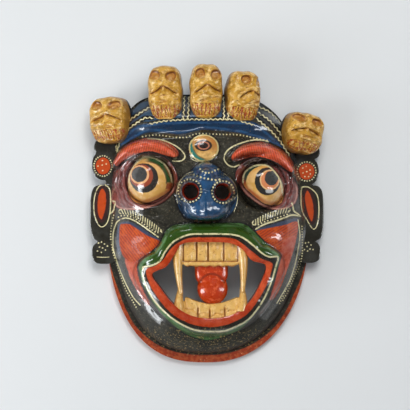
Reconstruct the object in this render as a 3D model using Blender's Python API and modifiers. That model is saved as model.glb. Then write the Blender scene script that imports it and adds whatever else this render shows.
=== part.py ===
"""A carved and painted wooden mask of a wrathful guardian with a crown of five skulls.

It lies on its flat back rim with the face up: +Z out of the face, +Y to the crown and +X to the
right of somebody who looks at the face. The face, the skulls, the ears, the teeth and the tongue
are carved from one block, so they make one solid. Lengths are in metres."""

import bpy
import bmesh
import numpy as np
from math import pi, radians
from mathutils import Matrix

# Driving sizes
FACE_WIDTH = 0.193
FACE_HEIGHT = 0.256
FACE_DEPTH = 0.091
WALL = 0.010
BACK_RIM_WIDTH = 0.011
RIM_THICKNESS = 0.008
NOSTRIL_BORE = 0.0135
NOSTRIL_MOUTH = 0.018
SKULL_THICKNESS = 0.034
EAR_THICKNESS = 0.013
EAR_LIFT = 0.005
TOOTH_THICKNESS = 0.014
FACE_FACETS = 4300
SKULL_FACETS = 350
TOOTH_FACETS = 56
FANG_FACETS = 80
TONGUE_FACETS = 130

# The carving is drawn on a grid of squares laid over the face, about a millimetre each
GRID_WIDE = 193
GRID_TALL = 256
GRID_DEEP = 91
SQUARE_X = FACE_WIDTH / GRID_WIDE
SQUARE_Y = FACE_HEIGHT / GRID_TALL
SQUARE_Z = FACE_DEPTH / GRID_DEEP
MIDDLE_Y = -20

# Outline of the face: half widths, reach up and down, and how square each corner is
HALF_LEFT = 96
HALF_RIGHT = 97
REACH_UP = 132.5
REACH_DOWN = 124
CROWN_CORNER_LEFT = 0.162
CROWN_CORNER_RIGHT = 0.295
JAW_CORNER_LEFT = 0.37
JAW_CORNER_RIGHT = 0.45

# Heights above the back rim, in squares
BOWL_TOP = 60
SHOULDER_JAW = 0.925
SHOULDER_CROWN = 0.985
RIM_TOP = RIM_THICKNESS / SQUARE_Z

# How far the steps of the carving are worn round, in squares
EASE = 1.9

# Rows of the carving before it is thinned out
FRONT_COLUMNS = 100
FRONT_ROWS = 130

# Corners of the open mouth, clockwise from the left end of the upper lip
MOUTH = (
    (-22, -28.5), (0, -27.5), (21, -28.5), (33, -35), (41, -44.5), (54, -49.5), (50, -64),
    (39, -83), (23, -95), (3, -98.5), (-16, -95.5), (-32, -85), (-44, -70), (-51.5, -57.5),
    (-38, -50), (-30, -38),
)

# Eyes: middle and height of the ball
LEFT_EYE = (-54, 29.5)
RIGHT_EYE = (51, 25)
EYE_RADIUS = 22
EYE_TOP = 68
LID_TOP = 58
TROUGH_TOP = 49

# Brows: middle and radius of each arc, and the angles at its outer and inner ends
LEFT_BROW = (-56, 26, 36.5, 150, 46)
RIGHT_BROW = (46, 22, 37, 25, 132)

# Skulls of the crown: middle x and y, height of the front, width, height, turn, lean, and how far
# its face is cut to one side
SKULLS = (
    (-91.5, 87, 40, 37, 44, -26, 4, 0.13),
    (-39.5, 111.5, 53, 32, 52, -4, 2, -0.05),
    (-1.5, 113, 55, 31, 52, 0, 0, 0.12),
    (32.5, 108.5, 52, 32, 48, 12, -3, 0.45),
    (89, 74.5, 40, 38, 39, 26, -10, -0.12),
)

# Lobes of the ear boards: middle x and y, half width, half height and squareness
LEFT_EAR = (
    (-97, 62, 11, 8, 2.6),
    (-99, 44.5, 11, 14, 2.3),
    (-98.5, -1, 13, 27, 4.0),
    (-98.5, -39, 11.5, 10.5, 3.0),
)
RIGHT_EAR = (
    (96, 57, 11, 7, 2.6),
    (94, 39, 12, 13.5, 2.3),
    (98, -1, 12.5, 26.5, 4.0),
    (96, -38, 11.5, 10.5, 3.0),
)

# Upper teeth: left edges, and the right edge of the last
UPPER_TEETH = (-22.5, -10, 0.5, 15, 28)
LOWER_TEETH = (-20, -9, 2, 16, 28)


def rim_half_width(y, left):
    """Half width of the face at each height on the grid."""
    up = np.clip((y - MIDDLE_Y) / REACH_UP, 0, 1)
    down = np.clip((MIDDLE_Y - y) / REACH_DOWN, 0, 1)
    crown = np.where(left, CROWN_CORNER_LEFT, CROWN_CORNER_RIGHT)
    jaw = np.where(left, JAW_CORNER_LEFT, JAW_CORNER_RIGHT)
    half = np.where(left, HALF_LEFT, HALF_RIGHT)
    return half * (1 - up ** 2) ** crown * (1 - down ** 2) ** jaw


def make_reach_table():
    """Distance from the middle of the face to its rim, round the whole turn."""
    angles = np.linspace(-pi, pi, 1441)
    near = np.zeros_like(angles)
    far = np.full_like(angles, 200.0)
    for _ in range(40):
        half = (near + far) / 2
        x = half * np.cos(angles)
        y = MIDDLE_Y + half * np.sin(angles)
        limit = np.where(
            (y < MIDDLE_Y + REACH_UP) & (y > MIDDLE_Y - REACH_DOWN),
            rim_half_width(y, x < 0),
            0,
        )
        inside = np.abs(x) < limit
        near = np.where(inside, half, near)
        far = np.where(inside, far, half)
    # The corners of the crown are eased a little, as a rasp leaves them
    ease = np.hanning(25)
    ring = np.concatenate([near[-13:-1], near, near[1:13]])
    return angles, np.convolve(ring, ease / ease.sum(), mode="valid")


REACH_ANGLES, REACH_VALUES = make_reach_table()


def reach(x, y):
    """Distance to the rim in the direction of each point."""
    return np.interp(np.arctan2(y - MIDDLE_Y, x), REACH_ANGLES, REACH_VALUES)


def share_out(x, y):
    """How far out each point lies, from 0 in the middle of the face to 1 on the rim."""
    return np.hypot(x, y - MIDDLE_Y) / reach(x, y)


def swell(x, y, middle_x, middle_y, half_x, half_y, power=1.0):
    """A rounded swelling: 1 in its middle, 0 at its edge and beyond."""
    away = ((x - middle_x) / half_x) ** 2 + ((y - middle_y) / half_y) ** 2
    return np.clip(1 - away, 0, None) ** power


def lift(height, top, share):
    """A surface raised towards a top height by a share from 0 to 1."""
    return height + np.clip(top - height, 0, None) * share


def smooth_loop(corners, steps):
    """A smooth closed line through the corners."""
    points = np.array(corners, float)
    before = np.roll(points, 1, axis=0)
    after = np.roll(points, -1, axis=0)
    beyond = np.roll(points, -2, axis=0)
    t = np.linspace(0, 1, steps, endpoint=False)[None, :, None]
    line = 0.5 * (
        2 * points[:, None]
        + (after - before)[:, None] * t
        + (2 * before - 5 * points + 4 * after - beyond)[:, None] * t ** 2
        + (3 * points - before - 3 * after + beyond)[:, None] * t ** 3
    )
    return line.reshape(-1, 2)


def distance_outside(x, y, loop):
    """Distance of each point to a closed line, negative inside it."""
    nearest = np.full(x.shape, 1e9)
    inside = np.zeros(x.shape, bool)
    for (ax, ay), (bx, by) in zip(loop, np.roll(loop, -1, axis=0)):
        run_x = bx - ax
        run_y = by - ay
        along = (x - ax) * run_x + (y - ay) * run_y
        along = np.clip(along / (run_x ** 2 + run_y ** 2), 0, 1)
        nearest = np.minimum(nearest, (x - ax - along * run_x) ** 2 + (y - ay - along * run_y) ** 2)
        if ay != by:
            crosses = ((ay > y) != (by > y)) & (x < run_x * (y - ay) / run_y + ax)
            inside ^= crosses
    return np.where(inside, -1, 1) * np.sqrt(nearest)


MOUTH_LOOP = smooth_loop(MOUTH, 3)


def bowl(y, share):
    """The plain bowl of the face, down to the flat rim that flares out round the jaw."""
    rise = np.clip((y + 62) / 50, 0, 1)
    rise = rise * rise * (3 - 2 * rise)
    near = np.clip(share / (SHOULDER_JAW + (SHOULDER_CROWN - SHOULDER_JAW) * rise), 0, 1)
    return RIM_TOP + (BOWL_TOP - RIM_TOP) * (1 - near ** 2.7) ** 0.55


def brow(x, y, arc):
    """A raised brow along its arc, thinner to both ends."""
    middle_x, middle_y, radius, outer, inner = arc
    angle = np.degrees(np.arctan2(y - middle_y, x - middle_x))
    from_outer = (angle - outer) / (inner - outer)
    inside = np.clip(from_outer, 0, 1)
    end = np.abs(from_outer - inside) * abs(radians(inner - outer)) * radius
    off = np.hypot(np.hypot(x - middle_x, y - middle_y) - radius, end)
    half = 3.0 + 3.2 * np.sin(pi * np.clip(inside * 0.9 + 0.08, 0, 1)) ** 0.7
    return (1 - 0.35 * (1 - inside) ** 2) * np.clip(1 - (off / half) ** 2, 0, None) ** 0.7


def eye(height, x, y, middle, side):
    """The bulging eye with a thick roll of lid round it and folds at its outer corner."""
    dx = (x - middle[0]) * -side
    dy = y - middle[1]
    away = np.hypot(dx, dy)
    outward = np.clip(dx, 0, None)
    ball = EYE_TOP - EYE_RADIUS + np.sqrt(np.clip(EYE_RADIUS ** 2 - away ** 2, 0, None)) - 0.012 * outward ** 2
    crest = EYE_RADIUS + 3.5
    spread = 7 + 3.5 * np.clip(dx / 26, 0, 1) - 3.5 * np.clip(dy / 24, 0, 1)
    fall = 0.026 * outward ** 2
    folds = 0.9 * np.cos((away - crest) * 1.4) * np.clip(dx / 24, 0, 1) * np.clip(1.3 - np.abs(dy) / 22, 0, 1)
    outer_side = lift(height, LID_TOP + folds - fall, np.clip(1 - ((away - crest) / spread) ** 2, 0, None) ** 0.6)
    inner_side = TROUGH_TOP - fall + (LID_TOP - TROUGH_TOP) * np.clip(1 - ((crest - away) / 4) ** 2, 0, None)
    height = np.where(away < crest, inner_side, outer_side)
    return np.where(away < EYE_RADIUS, np.maximum(ball, TROUGH_TOP - fall), height)


def front(x, y):
    """Height of the carved front above the back rim, all in squares."""
    share = share_out(x, y)
    height = bowl(y, share)

    # Forehead: a hollow band under the hair and a fine ridge along its lower edge
    ridge_y = 70 + 3 * np.exp(-(((x + 5) / 7) ** 2)) - 0.0011 * x ** 2
    across = np.clip(1.5 - np.abs(x + 2) / 55, 0, 1)
    height = height + across * 1.8 * np.exp(-(((y - ridge_y) / 2.4) ** 2))
    height = height - across * 3.0 * np.exp(-(((y - ridge_y - 8) / 4.6) ** 2))
    height = height + 8 * np.exp(-(((y - 93) / 13) ** 2)) * np.clip((1 - share) * 12, 0, 1)

    # Third eye on the forehead
    height = height + 5 * swell(x, y, -3.5, 60, 15, 13.5, 0.5)

    # Cheeks
    height = height + 8 * swell(x, y, -62, -22, 30, 26, 1.2)
    height = height + 8 * swell(x, y, 62, -22, 30, 26, 1.2)

    # Eyes
    height = eye(height, x, y, LEFT_EYE, 1)
    height = eye(height, x, y, RIGHT_EYE, -1)

    # Brows, heavier over the root of the nose
    for arc in (LEFT_BROW, RIGHT_BROW):
        height = lift(height, 64 - 32 * np.clip(share - 0.72, 0, 1), brow(x, y, arc))

    # Snout: the dome of its bridge, two wings round the nostrils with a flat between them, and a
    # broad blunt tip
    height = lift(height, 78, swell(x, y, -1, 39, 14.5, 16, 0.55))
    for wing_x, wing_y in ((-16.5, 20), (13.5, 19.5)):
        height = lift(height, 92, swell(x, y, wing_x, wing_y, 13.5, 15, 0.55))
    height = lift(height, 87, swell(x, y, -1.5, 23, 9, 17, 0.4))
    across = np.abs((x + 1.5) / (21.5 + 0.18 * (y - 2))) ** 2.6
    along = np.abs((y - 6) / 14.5) ** 3.4
    tip_top = 89 + 3 * np.exp(-(((x + 1.5) / 3.5) ** 2))
    height = lift(height, tip_top, np.clip(1 - across - along, 0, None) ** 0.42)

    # Lips: a thick roll right round the open mouth
    outside = distance_outside(x, y, MOUTH_LOOP)
    spread = np.where(outside > 9, 8.5, 14)
    roll = np.clip(1 - ((outside - 9) / spread) ** 2, 0, None) ** 0.6
    fuller = 12 + 5 * np.clip((-60 - y) / 45, 0, 1)
    height = np.where(roll > 0, height + fuller * roll, height)

    # The flare of the rim runs only round the jaw and the sides
    return np.maximum(height, RIM_TOP)


def eased_front(x, y):
    """The carved front with its steps worn soft, as sanding and paint leave them."""
    turns = np.linspace(0, 2 * pi, 8, endpoint=False)
    ring = sum(front(x + EASE * np.cos(turn), y + EASE * np.sin(turn)) for turn in turns)
    return np.where(share_out(x, y) < 0.99, (ring + 2 * front(x, y)) / 10, front(x, y))


def back(x, y, inner_share):
    """Height of the hollow behind the face, which keeps a wall under the thinnest carving."""
    wall = WALL / SQUARE_Z
    hollow = (BOWL_TOP - wall - 5) * (1 - np.clip(inner_share, 0, 1) ** 2.6) ** 0.62
    return hollow + 24 * np.exp(-(((x + 1) / 17) ** 2) - ((y - 20) / 19) ** 2)


def place(x, y, z):
    """Squares of the grid as metres."""
    return np.stack([x * SQUARE_X, y * SQUARE_Y, z * SQUARE_Z], axis=-1)


def square_to_round(u, v):
    """A square sheet pulled to a round one, its rows closer together to the edge."""
    x = u * np.sqrt(1 - v ** 2 / 2)
    y = v * np.sqrt(1 - u ** 2 / 2)
    out = np.hypot(x, y)
    pull = 1 + 0.28 * (1 - out ** 2)
    return x * pull, y * pull


def link(obj, collection):
    for other in list(obj.users_collection):
        other.objects.unlink(obj)
    collection.objects.link(obj)


def new_collection(name):
    found = bpy.data.collections.new(name)
    bpy.context.scene.collection.children.link(found)
    return found


def only(obj):
    bpy.ops.object.select_all(action="DESELECT")
    obj.select_set(True)
    bpy.context.view_layer.objects.active = obj


def points_of(obj):
    flat = np.empty(len(obj.data.vertices) * 3)
    obj.data.vertices.foreach_get("co", flat)
    return flat.reshape(-1, 3)


def move_points(obj, points):
    obj.data.vertices.foreach_set("co", np.ascontiguousarray(points, float).reshape(-1))
    obj.data.update()


def make_face():
    """The shell of the face: carved front, flat back rim and plain hollow."""
    sheets = []
    for inner in (False, True):
        bpy.ops.mesh.primitive_grid_add(x_subdivisions=FRONT_COLUMNS, y_subdivisions=FRONT_ROWS, size=2)
        sheet = bpy.context.object
        flat = points_of(sheet)
        u, v = square_to_round(flat[:, 0], flat[:, 1])
        angle = np.arctan2(v, u)
        out = np.hypot(u, v)
        far = np.interp(angle, REACH_ANGLES, REACH_VALUES)
        if inner:
            far = far - BACK_RIM_WIDTH / SQUARE_X
        x = out * far * np.cos(angle)
        y = MIDDLE_Y + out * far * np.sin(angle)
        z = back(x, y, out) if inner else eased_front(x, y)
        move_points(sheet, place(x, y, z))
        sheets.append(sheet)
    outer, hollow = sheets
    only(hollow)
    bpy.ops.object.mode_set(mode="EDIT")
    bpy.ops.mesh.select_all(action="SELECT")
    bpy.ops.mesh.flip_normals()
    bpy.ops.object.mode_set(mode="OBJECT")

    # The edge of the front is drawn straight down to the plane that the mask lies on
    form = bmesh.new()
    form.from_mesh(outer.data)
    edges = [edge for edge in form.edges if edge.is_boundary]
    grown = bmesh.ops.extrude_edge_only(form, edges=edges)
    for item in grown["geom"]:
        if isinstance(item, bmesh.types.BMVert):
            item.co.z = 0
    form.from_mesh(hollow.data)
    bmesh.ops.bridge_loops(form, edges=[edge for edge in form.edges if edge.is_boundary])
    bmesh.ops.recalc_face_normals(form, faces=form.faces)
    form.to_mesh(outer.data)
    form.free()
    bpy.data.objects.remove(hollow)
    outer.name = "mask"
    thin_out(outer, FACE_FACETS)
    p = points_of(outer)
    p[:, 2] = np.where(p[:, 2] < 0.0006, 0, p[:, 2])
    move_points(outer, p)
    return outer


def rounded_block(name, half, power, cuts):
    """A block with rounded sides, half sizes given, its faces cut into even squares."""
    bpy.ops.mesh.primitive_cube_add(size=2)
    block = bpy.context.object
    block.name = name
    only(block)
    bpy.ops.object.mode_set(mode="EDIT")
    bpy.ops.mesh.select_all(action="SELECT")
    bpy.ops.mesh.subdivide(number_cuts=cuts)
    bpy.ops.object.mode_set(mode="OBJECT")
    corner = np.tan(points_of(block) * pi / 4 * 0.98)
    size = (np.abs(corner) ** power).sum(axis=1) ** (1 / power)
    points = corner / size[:, None] * np.array(half)
    move_points(block, points)
    return block


def make_skull(name, spec):
    """A skull of the crown: a thumb of wood with its sockets, cheek bones, nose and teeth cut in."""
    middle_x, middle_y, top, wide, tall, turn, lean, aside = spec
    half_x = wide / 2
    half_y = tall / 2
    half_z = SKULL_THICKNESS / SQUARE_Z / 2
    skull = rounded_block(name, (half_x, half_y, half_z), 3.3, 18)
    p = points_of(skull)
    a = p[:, 0] / half_x
    b = p[:, 1] / half_y
    p[:, 0] *= 1 - 0.07 * np.clip(-b, 0, 1)
    facing = np.clip(p[:, 2] / half_z * 1.6, 0, 1)
    inward = np.clip((0.95 - np.abs(a)) * 6, 0, 1)
    a = a - aside
    # Round gouged sockets
    for side in (-1, 1):
        p[:, 2] -= facing * 5.0 * swell(a, b, side * 0.47, 0.6, 0.34, 0.21, 0.6)
    # A roof of cheek bones with the nose hole cut in under it, deepest along the roof
    under = 0.36 - 0.45 * np.abs(a) - b
    cut = np.clip(under / 0.06, 0, 1) * np.clip((0.42 - under) / 0.36, 0, 1) * np.clip((0.9 - np.abs(a)) * 6, 0, 1)
    cut = cut * inward
    p[:, 2] -= facing * 3.2 * cut * np.clip(np.abs(a) / 0.1 - 0.3, 0.35, 1)
    # The step under the cheeks, and the row of teeth set back below it
    p[:, 2] -= facing * 1.4 * np.exp(-(((b + 0.24) / 0.05) ** 2)) * np.clip(1.2 - np.abs(a), 0, 1)
    p[:, 2] -= facing * 1.0 * np.clip((-0.4 - b) / 0.08, 0, 1) * np.clip((b + 0.92) / 0.12, 0, 1)
    move_points(skull, p)
    turn_by = Matrix.Rotation(radians(turn), 3, "Y") @ Matrix.Rotation(radians(lean), 3, "Z")
    p = points_of(skull) @ np.array(turn_by).T
    p[:, 0] += middle_x
    p[:, 1] += middle_y
    p[:, 2] += top - half_z
    move_points(skull, place(p[:, 0], p[:, 1], p[:, 2]))
    thin_out(skull, SKULL_FACETS)
    return skull


def make_lobe(name, spec):
    """A lobe of an ear board: a flat slab with rounded corners that stands off the floor."""
    middle_x, middle_y, half_x, half_y, power = spec
    bpy.ops.mesh.primitive_cylinder_add(vertices=24, radius=1, depth=EAR_THICKNESS)
    lobe = bpy.context.object
    lobe.name = name
    p = points_of(lobe)
    squarer = (np.abs(p[:, :2]) ** power).sum(axis=1) ** (-1 / power)
    p[:, :2] *= squarer[:, None]
    p[:, 0] = (middle_x + p[:, 0] * half_x) * SQUARE_X
    p[:, 1] = (middle_y + p[:, 1] * half_y) * SQUARE_Y
    p[:, 2] += EAR_LIFT + EAR_THICKNESS / 2
    move_points(lobe, p)
    edge = lobe.modifiers.new("eased edge", "BEVEL")
    edge.width = 0.002
    edge.segments = 1
    edge.limit_method = "ANGLE"
    only(lobe)
    bpy.ops.object.modifier_apply(modifier=edge.name)
    return lobe


def make_web(name, spec, inner_x):
    """The strip that carries the lobes of an ear board and runs into the side of the face."""
    top = spec[0][1]
    bottom = spec[-1][1]
    outer_x = spec[0][0]
    bpy.ops.mesh.primitive_cube_add(size=1)
    web = bpy.context.object
    web.name = name
    p = points_of(web)
    p[:, 0] = ((outer_x + inner_x) / 2 + p[:, 0] * abs(outer_x - inner_x)) * SQUARE_X
    p[:, 1] = ((top + bottom) / 2 + p[:, 1] * (top - bottom)) * SQUARE_Y
    p[:, 2] = p[:, 2] * (EAR_THICKNESS - 2 * 0.001) + EAR_LIFT + EAR_THICKNESS / 2
    move_points(web, p)
    return web


def make_tooth(name, left, right, top, bottom, height):
    """A broad tooth, its roots inside the lip."""
    half = ((right - left) / 2 - 0.15, (top - bottom) / 2, TOOTH_THICKNESS / SQUARE_Z / 2)
    tooth = rounded_block(name, half, 5.0, 7)
    p = points_of(tooth)
    move_points(tooth, place(p[:, 0] + (left + right) / 2, p[:, 1] + (top + bottom) / 2, p[:, 2] + height - half[2]))
    thin_out(tooth, TOOTH_FACETS)
    return tooth


def make_fang(name, root, tip, root_half, tip_half, height):
    """A long tapering fang from its root inside the lip to its tip."""
    bpy.ops.mesh.primitive_cylinder_add(vertices=16, radius=1, depth=2)
    fang = bpy.context.object
    fang.name = name
    only(fang)
    bpy.ops.object.mode_set(mode="EDIT")
    bpy.ops.mesh.select_all(action="SELECT")
    bpy.ops.mesh.subdivide(number_cuts=3)
    bpy.ops.object.mode_set(mode="OBJECT")
    p = points_of(fang)
    along = (p[:, 2] + 1) / 2
    half = root_half + (tip_half - root_half) * along ** 0.85
    x = root[0] + (tip[0] - root[0]) * along + p[:, 0] * half
    y = root[1] + (tip[1] - root[1]) * along
    thick = TOOTH_THICKNESS / SQUARE_Z / 2
    z = height - thick + p[:, 1] * np.minimum(thick, half * 1.6)
    move_points(fang, place(x, y, z))
    thin_out(fang, FANG_FACETS)
    return fang


def make_ball(name, middle, half):
    bpy.ops.mesh.primitive_uv_sphere_add(segments=28, ring_count=16, radius=1)
    ball = bpy.context.object
    ball.name = name
    p = points_of(ball) * np.array(half) + np.array(middle)
    move_points(ball, place(p[:, 0], p[:, 1], p[:, 2]))
    thin_out(ball, TONGUE_FACETS)
    return ball


def face_out(obj):
    form = bmesh.new()
    form.from_mesh(obj.data)
    bmesh.ops.recalc_face_normals(form, faces=form.faces)
    form.to_mesh(obj.data)
    form.free()


def thin_out(obj, wanted):
    """Flat facets take the place of the fine rows, most of them where the carving bends."""
    count = sum(len(face.vertices) - 2 for face in obj.data.polygons)
    only(obj)
    step = obj.modifiers.new("fewer facets", "DECIMATE")
    step.ratio = min(1.0, wanted / count)
    bpy.ops.object.modifier_apply(modifier=step.name)


def combine(obj, other, how):
    """The two shapes made one, or the second taken out of the first."""
    only(obj)
    step = obj.modifiers.new("shape", "BOOLEAN")
    step.operation = how
    step.solver = "MANIFOLD"
    step.object = other
    bpy.ops.object.modifier_apply(modifier=step.name)


def material(name, colour, roughness):
    found = bpy.data.materials.new(name)
    found.use_nodes = True
    surface = found.node_tree.nodes["Principled BSDF"]
    surface.inputs["Base Color"].default_value = (*colour, 1)
    surface.inputs["Roughness"].default_value = roughness
    surface.inputs["Metallic"].default_value = 0
    found.diffuse_color = (*colour, 1)
    return found


def main():
    for obj in list(bpy.data.objects):
        bpy.data.objects.remove(obj)
    mask_set = new_collection("cham_mask")
    cutter_set = new_collection("cutters")

    mask = make_face()
    added = []
    for number, spec in enumerate(SKULLS):
        added.append(make_skull(f"skull_{number + 1}", spec))
    for side, lobes, inner_x in (("left", LEFT_EAR, -84), ("right", RIGHT_EAR, 84)):
        added.append(make_web(f"ear_web_{side}", lobes, inner_x))
        for number, spec in enumerate(lobes):
            added.append(make_lobe(f"ear_{side}_{number + 1}", spec))

    for obj in added:
        face_out(obj)
        combine(mask, obj, "UNION")
        bpy.data.objects.remove(obj)

    # The open mouth and the nostrils go right through the wall
    bpy.ops.mesh.primitive_circle_add(vertices=len(MOUTH_LOOP), radius=1, fill_type="NGON")
    mouth = bpy.context.object
    mouth.name = "mouth_cutter"
    move_points(mouth, place(MOUTH_LOOP[::-1, 0], MOUTH_LOOP[::-1, 1], np.full(len(MOUTH_LOOP), 4.0)))
    thick = mouth.modifiers.new("depth", "SOLIDIFY")
    thick.thickness = FACE_DEPTH * 1.2
    thick.offset = 1
    only(mouth)
    bpy.ops.object.modifier_apply(modifier=thick.name)
    face_out(mouth)
    cutters = [mouth]
    for side, x, y in (("left", -16.5, 20), ("right", 13.5, 19.5)):
        bpy.ops.mesh.primitive_cylinder_add(
            vertices=20,
            radius=NOSTRIL_BORE / 2,
            depth=FACE_DEPTH,
            location=(x * SQUARE_X, y * SQUARE_Y, FACE_DEPTH * 0.8),
        )
        bore = bpy.context.object
        bore.name = f"nostril_cutter_{side}"
        cutters.append(bore)
        # Each nostril opens out to its mouth
        wider = (NOSTRIL_MOUTH - NOSTRIL_BORE) / 2
        bpy.ops.mesh.primitive_cone_add(
            vertices=20,
            radius1=NOSTRIL_BORE / 2 - 0.4 * wider,
            radius2=NOSTRIL_BORE / 2 + 3.1 * wider,
            depth=FACE_DEPTH * 0.5,
            location=(x * SQUARE_X, y * SQUARE_Y, FACE_DEPTH * 1.05),
        )
        flare = bpy.context.object
        flare.name = f"nostril_mouth_cutter_{side}"
        cutters.append(flare)
    for cutter in cutters:
        combine(mask, cutter, "DIFFERENCE")
        link(cutter, cutter_set)
        cutter.hide_render = True
        cutter.display_type = "WIRE"
    cutter_set.hide_render = True

    # Teeth, fangs and tongue stand in the mouth
    inside = []
    for number in range(4):
        inside.append(make_tooth(
            f"upper_tooth_{number + 1}", UPPER_TEETH[number], UPPER_TEETH[number + 1], -20, -50, 63))
        inside.append(make_tooth(
            f"lower_tooth_{number + 1}", LOWER_TEETH[number], LOWER_TEETH[number + 1], -81, -104, 57))
    inside.append(make_fang("fang_upper_left", (-28, -30), (-25, -76), 6.5, 2.2, 65))
    inside.append(make_fang("fang_upper_right", (32.5, -28), (32, -74), 6.5, 2.2, 65))
    inside.append(make_fang("fang_lower_left", (-26, -99), (-25, -70), 7.0, 2.2, 61))
    inside.append(make_fang("fang_lower_right", (32, -97), (32, -70), 6.5, 2.2, 61))
    inside.append(make_ball("tongue_root", (2.5, -54, 50), (14.5, 14, 8)))
    inside.append(make_ball("tongue_tip", (4, -71, 50), (13.5, 15, 9)))
    for obj in inside:
        face_out(obj)
        combine(mask, obj, "UNION")
        bpy.data.objects.remove(obj)

    # The middle of the mask stands over the origin
    p = points_of(mask)
    middle = (p.min(axis=0) + p.max(axis=0)) / 2
    for obj in [mask] + cutters:
        p = points_of(obj)
        p[:, :2] -= middle[:2]
        move_points(obj, p)

    link(mask, mask_set)
    mask.data.shade_smooth()
    mask.data.set_sharp_from_angle(angle=radians(40))
    mask.data.materials.clear()
    mask.data.materials.append(material("painted_wood", (0.035, 0.038, 0.042), 0.3))
    bpy.ops.object.select_all(action="DESELECT")


main()
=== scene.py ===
"""Fine carving and paint of a wooden guardian mask with a crown of five skulls.

The mask lies on its flat back rim with its face up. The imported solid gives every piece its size
and place, and the pieces made here carry the fine carving and the brushwork. Lengths in the
carving functions are millimetres, from the middle of the face as it was drawn."""

from math import pi, radians

import bmesh
import bpy
import numpy as np
from bpy.props import FloatProperty, FloatVectorProperty, IntProperty, PointerProperty
from mathutils import Matrix


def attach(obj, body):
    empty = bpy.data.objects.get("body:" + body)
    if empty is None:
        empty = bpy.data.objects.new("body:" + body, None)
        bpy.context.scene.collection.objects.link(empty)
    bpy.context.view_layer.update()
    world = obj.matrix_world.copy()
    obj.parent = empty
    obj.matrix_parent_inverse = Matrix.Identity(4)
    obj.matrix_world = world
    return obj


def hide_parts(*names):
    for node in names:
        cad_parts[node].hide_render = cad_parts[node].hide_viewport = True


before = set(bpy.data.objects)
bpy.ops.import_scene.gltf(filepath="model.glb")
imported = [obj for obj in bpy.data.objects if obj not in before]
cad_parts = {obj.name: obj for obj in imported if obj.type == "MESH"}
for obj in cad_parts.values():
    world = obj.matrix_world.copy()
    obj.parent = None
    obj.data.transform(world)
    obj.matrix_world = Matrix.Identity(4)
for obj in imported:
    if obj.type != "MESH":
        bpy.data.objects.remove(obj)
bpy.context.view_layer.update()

bl_info = {
    "name": "Guardian mask",
    "version": (1, 0, 0),
    "blender": (4, 5, 0),
    "location": "View3D > Sidebar > Mask",
    "description": "Fine carving and paint of a guardian mask with a crown of skulls",
    "category": "Object",
}

MM = 0.001
# Where the middle of the drawing lies from the middle of the mask's box
SHIFT = np.array((0.70, 2.495, 0.0))

# Outline of the face
MIDDLE_Y = -20
HALF_LEFT = 96
HALF_RIGHT = 97
REACH_UP = 132.5
REACH_DOWN = 124
CROWN_CORNER_LEFT = 0.162
CROWN_CORNER_RIGHT = 0.295
JAW_CORNER_LEFT = 0.37
JAW_CORNER_RIGHT = 0.45

# Heights above the back rim
BOWL_TOP = 60
SHOULDER_JAW = 0.925
SHOULDER_CROWN = 0.985
RIM_TOP = 8

MOUTH = (
    (-22, -28.5), (0, -27.5), (21, -28.5), (33, -35), (41, -44.5), (54, -49.5), (50, -64),
    (39, -83), (23, -95), (3, -98.5), (-16, -95.5), (-32, -85), (-44, -70), (-51.5, -57.5),
    (-38, -50), (-30, -38),
)

LEFT_EYE = (-54, 29.5)
RIGHT_EYE = (51, 25)
EYE_RADIUS = 22
EYE_TOP = 68
LID_TOP = 58
TROUGH_TOP = 49

# Brows: middle and radius of each arc, and the angles at its outer and inner ends
LEFT_BROW = (-56, 26, 36.5, 150, 46)
RIGHT_BROW = (46, 22, 37, 25, 132)

NOSTRILS = ((-16.5, 20), (13.5, 19.5))
# Each nostril leans as it goes in: middle of its bore and of its mouth
NOSTRIL_HOLES = (((-15.4, 18.9), (-15.9, 19.3)), ((13.0, 18.3), (14.4, 18.9)))

# Skulls: middle x and y, height of the front, width, height, turn, lean, and how far its face is
# cut to one side
SKULLS = (
    (-91.5, 87, 40, 37, 44, -26, 4, 0.13),
    (-39.5, 111.5, 53, 32, 52, -4, 2, -0.05),
    (-1.5, 113, 55, 31, 52, 0, 0, 0.12),
    (32.5, 108.5, 52, 32, 48, 12, -3, 0.45),
    (89, 74.5, 40, 38, 39, 26, -10, -0.12),
)

# Lobes of the ear boards: middle x and y, half width, half height and squareness
LEFT_EAR = (
    (-97, 62, 11, 8, 2.6),
    (-99, 44.5, 11, 14, 2.3),
    (-98.5, -1, 13, 27, 4.0),
    (-98.5, -39, 11.5, 10.5, 3.0),
)
RIGHT_EAR = (
    (96, 57, 11, 7, 2.6),
    (94, 39, 12, 13.5, 2.3),
    (98, -1, 12.5, 26.5, 4.0),
    (96, -38, 11.5, 10.5, 3.0),
)
UPPER_TEETH = (-22.5, -10, 0.5, 15, 28)
LOWER_TEETH = (-20, -9, 2, 16, 28)

# The painter's tracing is drawn on squares seen from above the face: this many millimetres each
# at the back rim, its middle square, the offset of that square, and the height it is seen from
TRACE_SQUARE = 0.963
TRACE_MIDDLE = 205
TRACE_OFFSET = (2.5, 7.0)
TRACE_HEIGHT = 1600

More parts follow.
